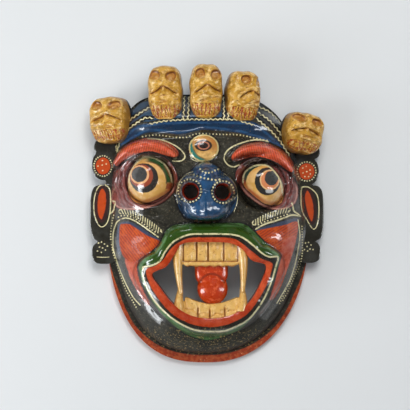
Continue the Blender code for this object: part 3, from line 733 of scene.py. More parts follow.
class Coats:
    """Coats of paint laid one over another in the nodes of one material."""

    def __init__(self, name, ground, roughness=0.36, coat=0.75, coat_roughness=0.09):
        self.material = bpy.data.materials.new(name)
        self.material.use_nodes = True
        self.nodes = self.material.node_tree.nodes
        self.links = self.material.node_tree.links
        self.surface = self.nodes["Principled BSDF"]
        self.surface.inputs["Specular IOR Level"].default_value = 0.2
        self.surface.inputs["Coat Weight"].default_value = coat
        self.surface.inputs["Coat IOR"].default_value = 1.6
        self.surface.inputs["Coat Roughness"].default_value = coat_roughness
        self.roughness = roughness
        self.read = {}
        self.place = self.nodes.new("ShaderNodeTexCoord").outputs["Object"]
        self.uneven = self.math("SUBTRACT", self.noise(420, 2.0), 0.5)
        self.colour = ground
        self.relief = 0.0
        self.varnish = None

    def feed(self, socket, value):
        if isinstance(value, (int, float, tuple)):
            socket.default_value = value
        else:
            self.links.new(value, socket)

    def math(self, kind, first, second=0.0, clamp=False):
        node = self.nodes.new("ShaderNodeMath")
        node.operation = kind
        node.use_clamp = clamp
        self.feed(node.inputs[0], first)
        self.feed(node.inputs[1], second)
        return node.outputs[0]

    def noise(self, scale, detail=3.0, stretch=None, roughness=0.55, distortion=0.0):
        node = self.nodes.new("ShaderNodeTexNoise")
        node.inputs["Scale"].default_value = scale
        node.inputs["Detail"].default_value = detail
        node.inputs["Roughness"].default_value = roughness
        node.inputs["Distortion"].default_value = distortion
        if stretch is None:
            self.links.new(self.place, node.inputs["Vector"])
        else:
            mapping = self.nodes.new("ShaderNodeMapping")
            mapping.inputs["Scale"].default_value = stretch
            self.links.new(self.place, mapping.inputs["Vector"])
            self.links.new(mapping.outputs[0], node.inputs["Vector"])
        return node.outputs["Fac"]

    def attribute(self, name, part=None):
        """A number kept on the mesh, or one part of three."""
        key = (name, part)
        if key not in self.read:
            if (name, None) not in self.read:
                node = self.nodes.new("ShaderNodeAttribute")
                node.attribute_name = name
                self.read[(name, None)] = node.outputs["Fac"]
                self.read[(name, "all")] = node.outputs["Vector"]
            if part in (0, 1, 2):
                if (name, "split") not in self.read:
                    split = self.nodes.new("ShaderNodeSeparateXYZ")
                    self.links.new(self.read[(name, "all")], split.inputs[0])
                    self.read[(name, "split")] = split
                self.read[key] = self.read[(name, "split")].outputs[part]
        return self.read[key]

    def below(self, value, limit=0.0, soft=0.35, wobble=0.9):
        """1 where the value is under the limit, with a slightly uneven edge."""
        if wobble:
            value = self.math("ADD", value, self.math("MULTIPLY", self.uneven, wobble))
        node = self.nodes.new("ShaderNodeMapRange")
        node.interpolation_type = "SMOOTHSTEP"
        node.inputs["From Min"].default_value = limit - soft
        node.inputs["From Max"].default_value = limit + soft
        node.inputs["To Min"].default_value = 1.0
        node.inputs["To Max"].default_value = 0.0
        self.feed(node.inputs["Value"], value)
        return node.outputs["Result"]

    def above(self, value, limit=0.0, soft=0.35, wobble=0.9):
        return self.math("SUBTRACT", 1.0, self.below(value, limit, soft, wobble))

    def both(self, *masks):
        found = masks[0]
        for mask in masks[1:]:
            found = self.math("MULTIPLY", found, mask)
        return found

    def either(self, *masks):
        found = masks[0]
        for mask in masks[1:]:
            found = self.math("MAXIMUM", found, mask)
        return found

    def band(self, value, low, high, soft=0.35, wobble=0.9):
        return self.both(self.below(value, high, soft, wobble), self.above(value, low, soft, wobble))

    def disc(self, x, y, half_x, half_y=None):
        """Distance outside an upright oval on the tracing."""
        half_y = half_y or half_x
        away = self.nodes.new("ShaderNodeVectorMath")
        away.operation = "SUBTRACT"
        self.links.new(self.attribute_vector("trace"), away.inputs[0])
        away.inputs[1].default_value = (x, y, 0)
        scaled = self.nodes.new("ShaderNodeVectorMath")
        scaled.operation = "MULTIPLY"
        self.links.new(away.outputs[0], scaled.inputs[0])
        scaled.inputs[1].default_value = (1 / half_x, 1 / half_y, 0)
        length = self.nodes.new("ShaderNodeVectorMath")
        length.operation = "LENGTH"
        self.links.new(scaled.outputs[0], length.inputs[0])
        mean = (half_x + half_y) / 2
        return self.math("MULTIPLY", self.math("SUBTRACT", length.outputs["Value"], 1.0), mean)

    def attribute_vector(self, name):
        self.attribute(name)
        return self.read[(name, "all")]

    def mix(self, mask, under, over):
        node = self.nodes.new("ShaderNodeMix")
        node.data_type = "RGBA"
        self.feed(node.inputs["Factor"], mask)
        self.feed(node.inputs[6], under)
        self.feed(node.inputs[7], over)
        return node.outputs[2]

    def lay(self, mask, colour, strength=1.0):
        if strength != 1.0:
            mask = self.math("MULTIPLY", mask, strength)
        self.colour = self.mix(mask, self.colour, colour)

    def shade(self, strength, scale, detail=4.0, stretch=None):
        """Lighter and darker passages over all that is painted so far."""
        value = self.noise(scale, detail, stretch)
        node = self.nodes.new("ShaderNodeMapRange")
        node.inputs["From Min"].default_value = 0.25
        node.inputs["From Max"].default_value = 0.75
        node.inputs["To Min"].default_value = 1.0 - strength
        node.inputs["To Max"].default_value = 1.0 + strength
        self.links.new(value, node.inputs["Value"])
        product = self.nodes.new("ShaderNodeVectorMath")
        product.operation = "SCALE"
        self.feed(product.inputs[0], self.colour if not isinstance(self.colour, tuple) else self.colour[:3])
        self.links.new(node.outputs["Result"], product.inputs["Scale"])
        self.colour = product.outputs[0]

    def raise_by(self, mask, amount):
        """Thick paint stands proud by a share of the relief."""
        self.relief = self.math("ADD", self.math("MULTIPLY", mask, amount), self.relief)

    def finish(self, relief_depth=0.0005, strength=0.6, gloss_scale=160, gloss_range=0.14, dull=None):
        rough = self.nodes.new("ShaderNodeMapRange")
        rough.inputs["From Min"].default_value = 0.3
        rough.inputs["From Max"].default_value = 0.7
        rough.inputs["To Min"].default_value = self.roughness - gloss_range / 2
        rough.inputs["To Max"].default_value = self.roughness + gloss_range / 2
        self.links.new(self.noise(gloss_scale, 4.0), rough.inputs["Value"])
        value = rough.outputs["Result"]
        if dull is not None:
            value = self.math("ADD", value, self.math("MULTIPLY", dull, 0.3), clamp=True)
        self.links.new(value, self.surface.inputs["Roughness"])
        self.feed(self.surface.inputs["Base Color"], self.colour)
        if self.varnish is not None:
            self.links.new(self.varnish, self.surface.inputs["Coat Weight"])
        bump = self.nodes.new("ShaderNodeBump")
        bump.inputs["Strength"].default_value = strength
        bump.inputs["Distance"].default_value = relief_depth
        self.feed(bump.inputs["Height"], self.relief)
        self.links.new(bump.outputs[0], self.surface.inputs["Normal"])
        self.links.new(bump.outputs[0], self.surface.inputs["Coat Normal"])
        return self.material


def stripes(coats, value, spacing, width=0.5, soft=0.25):
    """1 on evenly spaced stripes across a value."""
    turn = coats.math("FRACT", coats.math("DIVIDE", value, spacing))
    off = coats.math("ABSOLUTE", coats.math("SUBTRACT", turn, 0.5))
    return coats.below(off, width / 2, soft, 0.0)


def line_marks(coats, cream, where=None):
    """Cream lines, zigzags, strokes and dots, drawn last of all."""
    plain = coats.below(coats.attribute("line", 1), 1.0, 0.45, 0.5)
    plain = coats.both(plain, coats.above(coats.attribute("line", 1), -1.0, 0.45, 0.5))
    plain = coats.both(plain, coats.below(coats.attribute("line", 2), 1.8, 0.2, 0.0))

    wave = coats.math("FRACT", coats.math("DIVIDE", coats.attribute("zigzag", 0), 4.7))
    wave = coats.math("ABSOLUTE", coats.math("SUBTRACT", wave, 0.5))
    wave = coats.math("MULTIPLY", coats.math("SUBTRACT", wave, 0.25), 2.6)
    off = coats.math("ABSOLUTE", coats.math("SUBTRACT", coats.attribute("zigzag", 1), wave))
    zigzag = coats.both(
        coats.below(off, 0.62, 0.3, 0.5), coats.below(coats.attribute("zigzag", 2), 2.4, 0.3, 0.0)
    )

    turn = coats.math("SUBTRACT", coats.math("FRACT", coats.attribute("dots", 0)), 0.5)
    turn = coats.math("MULTIPLY", turn, coats.attribute("dots", 2))
    away = coats.math(
        "ADD", coats.math("POWER", turn, 2.0), coats.math("POWER", coats.attribute("dots", 1), 2.0)
    )
    dots = coats.below(coats.math("SQRT", away), 0.95, 0.25, 0.7)

    slanted = coats.math(
        "ADD", coats.attribute("comb", 0), coats.math("MULTIPLY", coats.attribute("comb", 1), 0.55)
    )
    strokes = coats.both(
        stripes(coats, slanted, 2.75, 0.4, 0.14),
        coats.below(coats.attribute("comb", 2), 2.6, 0.3, 0.4),
    )
    marks = coats.either(plain, zigzag, dots, strokes)
    if where is not None:
        marks = coats.both(marks, where)
    faded = coats.math("MULTIPLY", coats.below(coats.noise(300, 4.0), 0.62, 0.12, 0.0), 0.95)
    coats.lay(coats.both(marks, faded), cream)
    coats.raise_by(marks, 0.55)


def worn(coats, cavity, wood, shade_and_dirt):
    """Painted shade and dirt in the hollows, and worn specks where the carving stands proud."""
    # The hollows darken by how deep they lie: painted shade, with dirt
    deep = coats.math("MULTIPLY", coats.attribute(cavity), 0.5, clamp=True)
    coats.lay(deep, shade_and_dirt, 0.55)
    specks = coats.above(coats.noise(620, 5.0, roughness=0.7), 0.66, 0.03, 0.0)
    proud = coats.below(coats.attribute(cavity), -0.12, 0.2, 0.0)
    patches = coats.above(coats.noise(90, 3.0), 0.5, 0.12, 0.0)
    coats.lay(coats.both(specks, coats.either(proud, patches)), wood, 0.6)
    scuffs = coats.above(coats.noise(240, 6.0, roughness=0.75), 0.7, 0.03, 0.0)
    coats.lay(scuffs, shade_and_dirt, 0.5)


def brushwork(coats, strength=0.12):
    """Brush hairs and small pits in the relief of the paint."""
    hairs = coats.noise(900, 3.0, (1.0, 0.35, 1.0))
    coats.raise_by(hairs, strength)
    coats.raise_by(coats.noise(160, 3.0), 0.5)


def paint_front(paints):
    """The painted front of the face, from the black ground up to the cream lines."""
    c = Coats("painted front", linear(paints.ground), 0.3)
    px = c.attribute("trace", 0)
    py = c.attribute("trace", 1)
    black = rgb(28, 27, 26)
    c.lay(c.above(c.noise(70, 4.0), 0.5, 0.14, 0.0), rgb(62, 60, 50), 0.6)
    c.lay(c.above(c.noise(210, 5.0, roughness=0.7), 0.6, 0.05, 0.0), rgb(20, 18, 16), 0.6)
    c.lay(c.above(c.noise(480, 5.0, roughness=0.75), 0.585, 0.03, 0.0), rgb(112, 106, 88), 0.5)

    # Hair in bands between the zigzag lines, blue on the left and nearly black on the right
    hair = c.below(c.attribute("hair"), 0.0, 0.5)
    clear = c.above(c.attribute("zigzag", 2), 2.3, 0.5, 1.5)
    left = c.below(px, 236, 4.0, 0.0)
    c.lay(hair, black)
    c.lay(c.both(hair, clear, left), linear(paints.hair))
    c.lay(
        c.both(hair, clear, left, c.above(c.noise(260, 3.0, (1, 0.4, 1)), 0.52, 0.1, 0.0)),
        rgb(44, 68, 98), 0.7
    )
    c.lay(c.both(hair, clear, c.math("SUBTRACT", 1.0, left)), rgb(62, 65, 67))

    # The dark blue band over the forehead
    navy = c.below(c.attribute("navy"), 0.0, 0.5)
    c.lay(navy, linear(paints.navy))
    # Painted highlight: a lighter blue stroke just inside the edges of the band
    c.lay(c.both(navy, c.band(c.attribute("navy"), -3.2, -1.2, 0.7)), rgb(42, 86, 130), 0.75)
    c.lay(c.both(navy, c.above(c.noise(300, 3.0, (0.35, 1.6, 1)), 0.56, 0.08, 0.0)), rgb(20, 40, 68), 0.7)

    # Lids
    lid = c.below(c.attribute("lid"), 0.0, 0.5)
    c.lay(c.band(c.attribute("lid"), -0.5, 1.6, 0.4), black)
    c.lay(lid, linear(paints.lid))
    c.lay(c.both(lid, c.above(c.noise(170, 4.0), 0.5, 0.1, 0.0)), rgb(150, 86, 80), 0.6)
    inner = c.either(
        c.both(c.above(px, 166, 3.0, 1.0), c.below(px, 190, 1.0, 0.0)),
        c.both(c.above(px, 230, 1.0, 0.0), c.below(px, 247, 3.0, 1.0)),
    )
    c.lay(c.both(lid, inner), rgb(118, 50, 38), 0.85)
    low = c.above(py, 186, 4.0, 1.0)
    c.lay(c.both(low, c.band(c.attribute("lid"), -2.0, -0.6, 0.4)), rgb(196, 140, 124), 0.8)
    # Black over the upper lids under each brow, deepened as painted shade of the brow's overhang
    for x, y in ((149, 186), (262, 189)):
        over = c.both(c.below(c.disc(x, y - 27, 21, 8.5), 0.0, 1.5), c.below(py, y - 22, 2.5, 1.0))
        c.lay(c.both(lid, over), rgb(34, 28, 28), 0.92)
    # Painted highlight: pale grey patches on the upper lids
    upper = c.below(py, 172, 5.0, 1.0)
    c.lay(c.both(lid, upper, c.above(c.noise(190, 5.0), 0.6, 0.05, 0.0)), rgb(176, 158, 160), 0.6)

    # Brows, hatched with fine upright strokes
    brow_field = c.attribute("brow")
    c.lay(c.band(brow_field, -0.4, 2.0, 0.4), black)
    brow_mask = c.below(brow_field, 0.0, 0.5)
    c.lay(brow_mask, linear(paints.brow))
    lean = c.math(
        "MULTIPLY", c.math("SUBTRACT", py, 150.0),
        c.math("MULTIPLY", c.math("SUBTRACT", px, 205.0), -0.004)
    )
    hatch = stripes(
        c, c.math("ADD", px, c.math("ADD", lean, c.math("MULTIPLY", c.uneven, 0.9))), 2.3, 0.42, 0.2
    )
    c.lay(c.both(brow_mask, hatch), rgb(150, 48, 28), 0.75)
    c.lay(c.both(brow_mask, c.above(c.noise(200, 3.0), 0.55, 0.1, 0.0)), rgb(228, 122, 92), 0.45)

    # Eyes
    ball_field = c.attribute("eyeball")
    ball = c.below(ball_field, 0.0, 0.4)
    c.lay(c.band(ball_field, -0.3, 1.3, 0.35), rgb(58, 40, 32), 0.8)
    c.lay(ball, linear(paints.eye))
    c.lay(c.both(ball, c.above(c.noise(150, 4.0), 0.5, 0.12, 0.0)), rgb(220, 164, 74), 0.75)
    low = c.above(py, 190, 6.0, 1.0)
    c.lay(c.both(ball, low, c.above(ball_field, -3.4, 1.4)), rgb(188, 98, 48), 0.65)
    left = c.below(px, 205, 1.0, 0.0)
    rest_of_ball = c.disc(146.5, 181.5, 20.2)
    beside = c.both(ball, left, c.above(px, 147, 4.0))
    c.lay(c.both(beside, c.above(rest_of_ball, 0.0, 0.4), c.below(py, 183, 1.5)), rgb(46, 84, 46))
    c.lay(c.both(beside, c.above(rest_of_ball, 0.0, 0.4), c.band(py, 183, 189, 1.0)), rgb(140, 44, 20), 0.85)
    c.lay(c.both(beside, c.band(rest_of_ball, -0.9, 0.2, 0.3), c.below(py, 184, 1.5)), rgb(44, 38, 30), 0.8)
    corner = c.both(ball, c.above(px, 165, 3.0), c.below(px, 190, 1.0), c.above(ball_field, -2.2, 1.0))
    c.lay(corner, rgb(176, 82, 48), 0.7)
    c.lay(c.both(ball, c.below(c.disc(144, 178, 14.2, 14.8), 0.0)), rgb(50, 46, 43))
    c.lay(c.both(ball, c.below(c.disc(141.5, 176, 11.6, 11.4), 0.0)), rgb(150, 68, 42))
    c.lay(c.both(ball, c.below(c.disc(139.7, 174.7, 9.4), 0.0)), rgb(234, 176, 124))
    c.lay(c.both(ball, c.below(c.disc(139.3, 174.4, 7.7), 0.0)), rgb(66, 66, 65))
    # Painted highlight: a pale glint low on the left pupil
    c.lay(c.below(c.disc(141, 187.3, 2.8, 1.9), 0.0, 0.6, 2.0), rgb(196, 192, 188), 0.85)
    right = c.above(px, 205, 1.0, 0.0)
    c.lay(c.both(ball, right, c.above(c.disc(264, 184, 18.2), 0.0, 0.4), c.below(px, 261, 2.0),
                 c.below(py, 184.5, 1.5)), rgb(36, 66, 56))
    corner = c.both(ball, c.above(px, 230, 1.0), c.below(px, 262, 5.0), c.above(py, 180, 4.0))
    stain = c.above(c.math("ADD", ball_field, c.math("MULTIPLY", c.noise(190, 3.0), 4.0)), -0.6, 1.2)
    c.lay(c.both(corner, stain), rgb(172, 76, 34), 0.8)
    c.lay(c.both(ball, c.below(c.disc(267.5, 181.3, 12.7, 14.0), 0.0)), rgb(46, 45, 43))
    c.lay(c.both(ball, c.below(c.disc(269.7, 180, 9.8, 10.2), 0.0)), rgb(214, 132, 84))
    c.lay(c.both(ball, c.band(c.disc(269.7, 180, 9.8, 10.2), -1.2, 0.0, 0.3)), rgb(236, 200, 140), 0.8)
    c.lay(c.both(ball, c.below(c.disc(271.4, 178.2, 6.7, 7.3), 0.0)), rgb(62, 63, 62))
    # Painted highlight: a pale glint low on the right pupil
    c.lay(c.below(c.disc(269.3, 191.2, 4.0, 1.9), 0.0, 0.6, 2.0), rgb(198, 198, 196), 0.85)

    # Third eye
    outer = c.disc(203.8, 148.0, 15.0, 13.6)
    c.lay(c.band(outer, -0.5, 1.5), black)
    c.lay(c.below(outer, 0.0), rgb(206, 190, 132))
    iris = c.below(outer, -1.3)
    c.lay(iris, rgb(212, 160, 88))
    c.lay(c.both(iris, c.above(px, 207, 7.0), c.below(py, 148, 6.0)), rgb(178, 108, 46), 0.8)
    c.lay(c.both(iris, c.above(py, 152, 3.0)), rgb(224, 184, 112), 0.8)
    c.lay(c.both(iris, c.above(c.noise(190, 4.0), 0.5, 0.1, 0.0)), rgb(150, 104, 50), 0.5)
    crescent = c.both(
        iris, c.above(c.disc(207.2, 144.6, 14.6), 0.0, 0.5), c.below(px, 205, 2.0),
        c.above(py, 143, 2.0)
    )
    c.lay(crescent, rgb(48, 118, 104))
    edge = c.band(c.disc(207.2, 144.6, 14.6), -0.9, 0.1, 0.3)
    c.lay(c.both(iris, edge, c.below(px, 205, 2.0), c.above(py, 148, 2.0)), rgb(60, 48, 30), 0.7)
    c.lay(c.below(c.disc(203.4, 145.4, 8.7, 5.7), 0.0), rgb(52, 38, 32))
    c.lay(c.below(c.disc(203.5, 145.5, 6.1, 4.1), 0.0), rgb(182, 112, 84))
    c.lay(c.below(c.disc(203.7, 145.5, 4.5, 3.0), 0.0), rgb(40, 28, 26))

    # Snout
    nose = c.below(c.attribute("nose"), 0.0, 0.5)
    c.lay(c.band(c.attribute("nose"), -0.4, 1.8), black)
    c.lay(nose, linear(paints.nose))
    c.lay(c.both(nose, c.above(c.noise(130, 4.0, (1, 0.5, 1)), 0.52, 0.1, 0.0)), rgb(40, 84, 128), 0.6)
    c.lay(c.both(nose, c.below(c.noise(200, 4.0), 0.42, 0.08, 0.0)), rgb(24, 44, 72), 0.6)
    c.lay(c.both(nose, c.band(c.disc(208, 174, 17, 6.5), -1.0, 1.0, 1.0)), rgb(30, 44, 62), 0.6)
    for x, y in ((189.8, 190.8), (223.2, 192)):
        c.lay(c.below(c.disc(x, y, 12.8, 12.8), 0.0, 0.7), rgb(26, 32, 40), 0.9)

    # Cheeks with slanting strokes, and the red band that runs down to the jaw, paled to pink by a painted
    # reflection of the varnish
    c.lay(c.below(c.attribute("navy_cheek"), 0.0, 0.4), rgb(60, 68, 90))
    cheek = c.below(c.attribute("cheek"), 0.0, 0.5)
    c.lay(cheek, linear(paints.cheek))
    slant_left = c.math("SUBTRACT", c.math("MULTIPLY", px, 0.8), c.math("MULTIPLY", py, 0.6))
    slant_right = c.math("ADD", c.math("MULTIPLY", px, 0.55), c.math("MULTIPLY", py, 0.83))
    bent = c.math("MULTIPLY", c.uneven, 1.0)
    left = c.below(px, 205, 1.0, 0.0)
    c.lay(
        c.both(cheek, left, stripes(c, c.math("ADD", slant_left, bent), 2.4, 0.42, 0.2)),
        rgb(132, 40, 16), 0.75
    )
    right = c.above(px, 205, 1.0, 0.0)
    c.lay(
        c.both(cheek, right, stripes(c, c.math("ADD", slant_right, bent), 2.4, 0.42, 0.2)),
        rgb(128, 38, 18), 0.75
    )
    c.lay(c.both(cheek, c.above(c.noise(150, 4.0), 0.55, 0.08, 0.0)), rgb(216, 96, 32), 0.5)
    # Red paint with a painted reflection over it, paler and pinker than the cheeks
    pink_sheen = c.below(c.attribute("pink_sheen"), 0.0, 0.6, 1.6)
    c.lay(pink_sheen, rgb(188, 70, 42))
    c.lay(c.both(pink_sheen, c.above(c.noise(240, 4.0), 0.5, 0.1, 0.0)), rgb(206, 112, 84), 0.6)

    # Lips: green, a cream line, black, then orange red
    green = c.attribute("green_lip")
    c.lay(c.band(green, -0.5, 1.6), black)
    c.lay(c.below(green, 0.0, 0.5), linear(paints.green))
    c.lay(
        c.both(c.band(green, -3.6, 0.0, 0.8), c.above(c.noise(120, 4.0), 0.42, 0.12, 0.0)),
        rgb(96, 144, 84), 0.55
    )
    c.lay(
        c.both(c.below(green, 0.0, 0.5), c.above(c.noise(110, 4.0), 0.56, 0.08, 0.0)), rgb(40, 66, 14),
        0.7
    )
    c.lay(c.below(c.attribute("cream_lip"), -0.4, 0.5), rgb(36, 32, 24))
    red = c.below(c.attribute("red_lip"), 0.0, 0.5)
    c.lay(red, linear(paints.lip))
    c.lay(c.both(red, c.above(c.noise(130, 4.0), 0.5, 0.12, 0.0)), rgb(224, 102, 58), 0.5)
    c.lay(c.both(red, c.below(c.noise(210, 4.0), 0.4, 0.08, 0.0)), rgb(166, 52, 18), 0.6)

    # Painted shade: the lower lip darker towards its bottom
    c.lay(c.both(red, c.above(py, 300, 14.0)), rgb(148, 42, 10), 0.55)

    # The rim that flares out round the jaw
    rim = c.below(c.attribute("rim"), 0.0, 0.4, 1.2)
    c.lay(rim, linear(paints.rim))
    c.lay(c.both(rim, c.above(c.noise(260, 4.0, (1, 1, 0.4)), 0.5, 0.1, 0.0)), rgb(184, 92, 48), 0.6)
    c.lay(c.both(rim, c.above(c.noise(420, 5.0, roughness=0.7), 0.62, 0.03, 0.0)), rgb(216, 150, 104), 0.6)
    c.lay(c.both(rim, c.below(c.noise(180, 4.0), 0.4, 0.05, 0.0)), rgb(92, 30, 16), 0.6)

    line_marks(c, linear(paints.cream), c.above(c.attribute("rim"), 3.0, 0.4))
    # Painted shade and dirt in the hollows, worn specks on the proud carving
    worn(c, "cavity", rgb(158, 122, 78), rgb(26, 22, 19))
    chin = c.both(c.above(py, 329, 5.0, 2.0), c.above(c.noise(420, 5.0, roughness=0.7), 0.595, 0.03, 0.0))
    c.lay(c.both(chin, c.above(c.attribute("rim"), 0.5, 0.5)), rgb(178, 150, 92), 0.75)
    brushwork(c)
    c.varnish = c.math("SUBTRACT", 0.8, c.math("MULTIPLY", c.attribute("dull"), 0.8), clamp=True)
    return c.finish(dull=c.attribute("dull"))


def paint_wall(name, edge, deep, how_deep):
    """The cut wall of an opening, painted at its edge and darker inside."""
    c = Coats(name, edge, 0.42, 0.3)
    c.shade(0.18, 220)
    depth = c.attribute("trace", 2)
    c.lay(c.above(depth, how_deep, how_deep * 0.6, 6.0), deep)
    c.raise_by(c.noise(260, 4.0), 0.8)
    return c.finish(0.0006)


def bare_wood(paints):
    """The hollow back: dark stained wood with its grain and the marks of the gouge."""
    c = Coats("stained wood", linear(paints.wood), 0.62, 0.0)
    grain = c.noise(120, 5.0, (1.0, 0.07, 0.3), 0.65, 0.4)
    c.lay(c.above(grain, 0.5, 0.12, 0.0), rgb(70, 45, 27), 0.75)
    c.lay(c.above(c.noise(420, 4.0, (1.0, 0.05, 0.3)), 0.6, 0.06, 0.0), rgb(44, 27, 16), 0.7)
    c.lay(c.above(c.noise(26, 3.0), 0.5, 0.15, 0.0), rgb(58, 40, 28), 0.45)
    gouge = c.nodes.new("ShaderNodeTexVoronoi")
    gouge.feature = "SMOOTH_F1"
    gouge.inputs["Scale"].default_value = 95
    stretch = c.nodes.new("ShaderNodeMapping")
    stretch.inputs["Scale"].default_value = (1.0, 0.45, 1.0)
    c.links.new(c.place, stretch.inputs["Vector"])
    c.links.new(stretch.outputs[0], gouge.inputs["Vector"])
    c.raise_by(gouge.outputs["Distance"], 1.6)
    c.raise_by(grain, 0.35)
    c.lay(c.above(gouge.outputs["Distance"], 0.5, 0.2, 0.0), rgb(132, 98, 66), 0.35)
    return c.finish(0.0012, 0.7, 90, 0.2)


def paint_bone(paints):
    """The skulls: ochre varnish over cream, a brown wash with painted shade in the cuts, painted shade on
    their sides and black behind.
    """
    c = Coats("bone paint", linear(paints.bone), 0.36, 0.42)
    c.lay(c.above(c.noise(75, 4.0), 0.47, 0.15, 0.0), rgb(190, 142, 48), 0.75)
    c.lay(c.above(c.noise(150, 4.0), 0.56, 0.1, 0.0), rgb(160, 114, 30), 0.7)
    c.lay(c.below(c.noise(230, 4.0), 0.43, 0.08, 0.0), rgb(240, 204, 132), 0.8)
    # Painted shade: the sides of each skull darker than its front
    side = c.below(c.attribute("skull", 2), 0.5, 0.35, 0.3)
    c.lay(side, rgb(142, 98, 32), 0.8)
    cut_shade_and_wash = c.math("MULTIPLY", c.attribute("cut_shade_and_wash"), c.math("ADD", c.noise(240, 4.0), 0.5))
    # Brown wash with painted shade in the sockets, under the cheek roofs and in the folds
    c.lay(c.above(cut_shade_and_wash, 0.34, 0.25, 0.3), rgb(162, 96, 48), 0.7)
    c.lay(c.above(cut_shade_and_wash, 0.76, 0.22, 0.3), rgb(92, 46, 18), 0.85)

    # Teeth marked with short jagged strokes
    across = c.attribute("skull", 0)
    along = c.attribute("skull", 1)
    zone = c.above(c.attribute("teeth_zone"), 0.5, 0.2, 0.2)
    shaky = c.math("ADD", across, c.math("MULTIPLY", c.math("SUBTRACT", c.noise(260, 3.0), 0.5), 7.0))
    marks = c.both(zone, stripes(c, shaky, 4.1, 0.3, 0.1), c.above(c.noise(340, 3.0), 0.42, 0.06, 0.0))
    c.lay(marks, rgb(164, 62, 20), 0.95)
    shaky = c.math("ADD", along, c.math("MULTIPLY", c.math("SUBTRACT", c.noise(230, 3.0), 0.5), 9.0))
    cross = c.both(zone, stripes(c, shaky, 6.4, 0.14, 0.08))
    c.lay(cross, rgb(164, 76, 34), 0.85)
    fine = c.above(c.noise(560, 4.0, (0.5, 1.4, 1)), 0.62, 0.04, 0.0)
    c.lay(fine, rgb(112, 70, 30), 0.6)
    nicks = c.above(c.noise(330, 5.0, (1.5, 0.6, 1), 0.7), 0.63, 0.03, 0.0)
    c.lay(nicks, rgb(96, 54, 24), 0.7)
    c.lay(c.above(c.attribute("behind"), 0.5, 0.12, 0.25), rgb(34, 32, 31))
    c.raise_by(c.noise(240, 4.0, (0.6, 1.2, 1)), 0.9)
    c.raise_by(marks, -0.5)
    return c.finish(0.0007, 0.8, 140, 0.16)


def paint_ear(paints):
    """Black ear boards with an orange almond, an orange disc and cream dots."""
    c = Coats("painted ears", linear(paints.ground), 0.34)
    c.lay(c.above(c.noise(80, 4.0), 0.52, 0.15, 0.0), rgb(68, 68, 64), 0.5)
    almond = c.attribute("almond")
    front_side = c.above(c.attribute("front_side"), 0.5, 0.2, 0.0)
    c.lay(c.both(front_side, c.below(almond, 2.6, 0.5)), rgb(58, 36, 34))
    c.lay(c.both(front_side, c.below(almond, -0.6, 0.5)), linear(paints.cheek))
    for x, y, half_x, half_y in ((103, 166, 7.2, 8.4), (306.5, 171.5, 7.9, 8.1)):
        c.lay(c.both(front_side, c.below(c.disc(x, y, half_x + 1.0, half_y + 1.0), 0.0)), rgb(54, 36, 32))
        c.lay(c.both(front_side, c.below(c.disc(x, y, half_x, half_y), 0.0)), linear(paints.cheek))
    c.shade(0.12, 240)
    line_marks(c, linear(paints.cream), front_side)
    worn(c, "cavity", rgb(150, 118, 76), rgb(26, 22, 19))
    brushwork(c)
    return c.finish()


def paint_teeth(paints):
    """Ochre cream teeth with brown in their gaps, and painted shade at their roots where they go back into
    the mouth.
    """
    c = Coats("tooth paint", linear(paints.tooth), 0.34, 0.45)
    c.lay(c.above(c.noise(120, 4.0), 0.5, 0.12, 0.0), rgb(212, 164, 84), 0.7)
    c.lay(c.below(c.noise(180, 4.0), 0.42, 0.08, 0.0), rgb(240, 206, 140), 0.6)
    c.lay(c.above(c.noise(430, 4.0), 0.63, 0.04, 0.0), rgb(150, 92, 42), 0.5)
    c.lay(c.above(c.attribute("gap"), 0.3, 0.25, 0.2), rgb(176, 112, 48), 0.8)
    c.lay(c.above(c.attribute("gap"), 0.7, 0.2, 0.2), rgb(84, 52, 24), 0.9)
    # Painted shade: darker where the teeth go back into the mouth
    c.lay(c.above(c.attribute("far"), 0.5, 0.4, 0.3), rgb(104, 66, 32), 0.8)
    c.raise_by(c.noise(260, 4.0), 0.9)
    return c.finish(0.0005)


def paint_tongue(paints):
    """Orange red tongue, darker at its root and in its crease: painted shade deep in the mouth."""
    c = Coats("tongue paint", linear(paints.lip), 0.3, 0.6)
    c.lay(c.above(c.noise(110, 4.0), 0.5, 0.12, 0.0), rgb(184, 52, 16), 0.7)
    c.lay(c.below(c.noise(260, 4.0), 0.42, 0.06, 0.0), rgb(226, 104, 60), 0.6)
    # Painted shade in the crease between the tip and the root, and where the tongue goes back into the mouth
    c.lay(c.above(c.attribute("gap"), 0.4, 0.35, 0.3), rgb(130, 44, 20), 0.8)
    c.lay(c.above(c.attribute("far"), 0.5, 0.4, 0.3), rgb(90, 36, 20), 0.8)
    brushwork(c, 0.2)
    return c.finish()


# Sizes, colours and the steps of the work

def length(name, text, size):
    return FloatProperty(
        name=name, description=text, default=size, min=0.0, unit="LENGTH", subtype="DISTANCE"
    )


def colour(name, text, red, green, blue):
    return FloatVectorProperty(
        name=name,
        description=text,
        default=(red / 255, green / 255, blue / 255),
        min=0.0,
        max=1.0,
        size=3,
        subtype="COLOR_GAMMA",
    )


class MaskSizes(bpy.types.PropertyGroup):
    wall: length("Wall", "Least thickness of the wood behind the carving", 0.010)
    rim_width: length("Rim width", "Width of the flat back rim", 0.011)
    nostril: length("Nostril", "Width of each nostril hole deep in", 0.0128)
    nostril_mouth: length("Nostril mouth", "Width of each nostril at its mouth", 0.0176)
    skull_thickness: length("Skull thickness", "Depth of the skulls from front to back", 0.034)
    ear_thickness: length("Ear thickness", "Thickness of the ear boards", 0.013)
    ear_lift: length("Ear lift", "How far the ear boards stand off the back rim's plane", 0.005)
    tooth_thickness: length("Tooth thickness", "Depth of the teeth and fangs", 0.014)
    columns: IntProperty(
        name="Columns", description="Columns of the carved front", default=236, min=40, max=300
    )
    rows: IntProperty(name="Rows", description="Rows of the carved front", default=300, min=40, max=380)


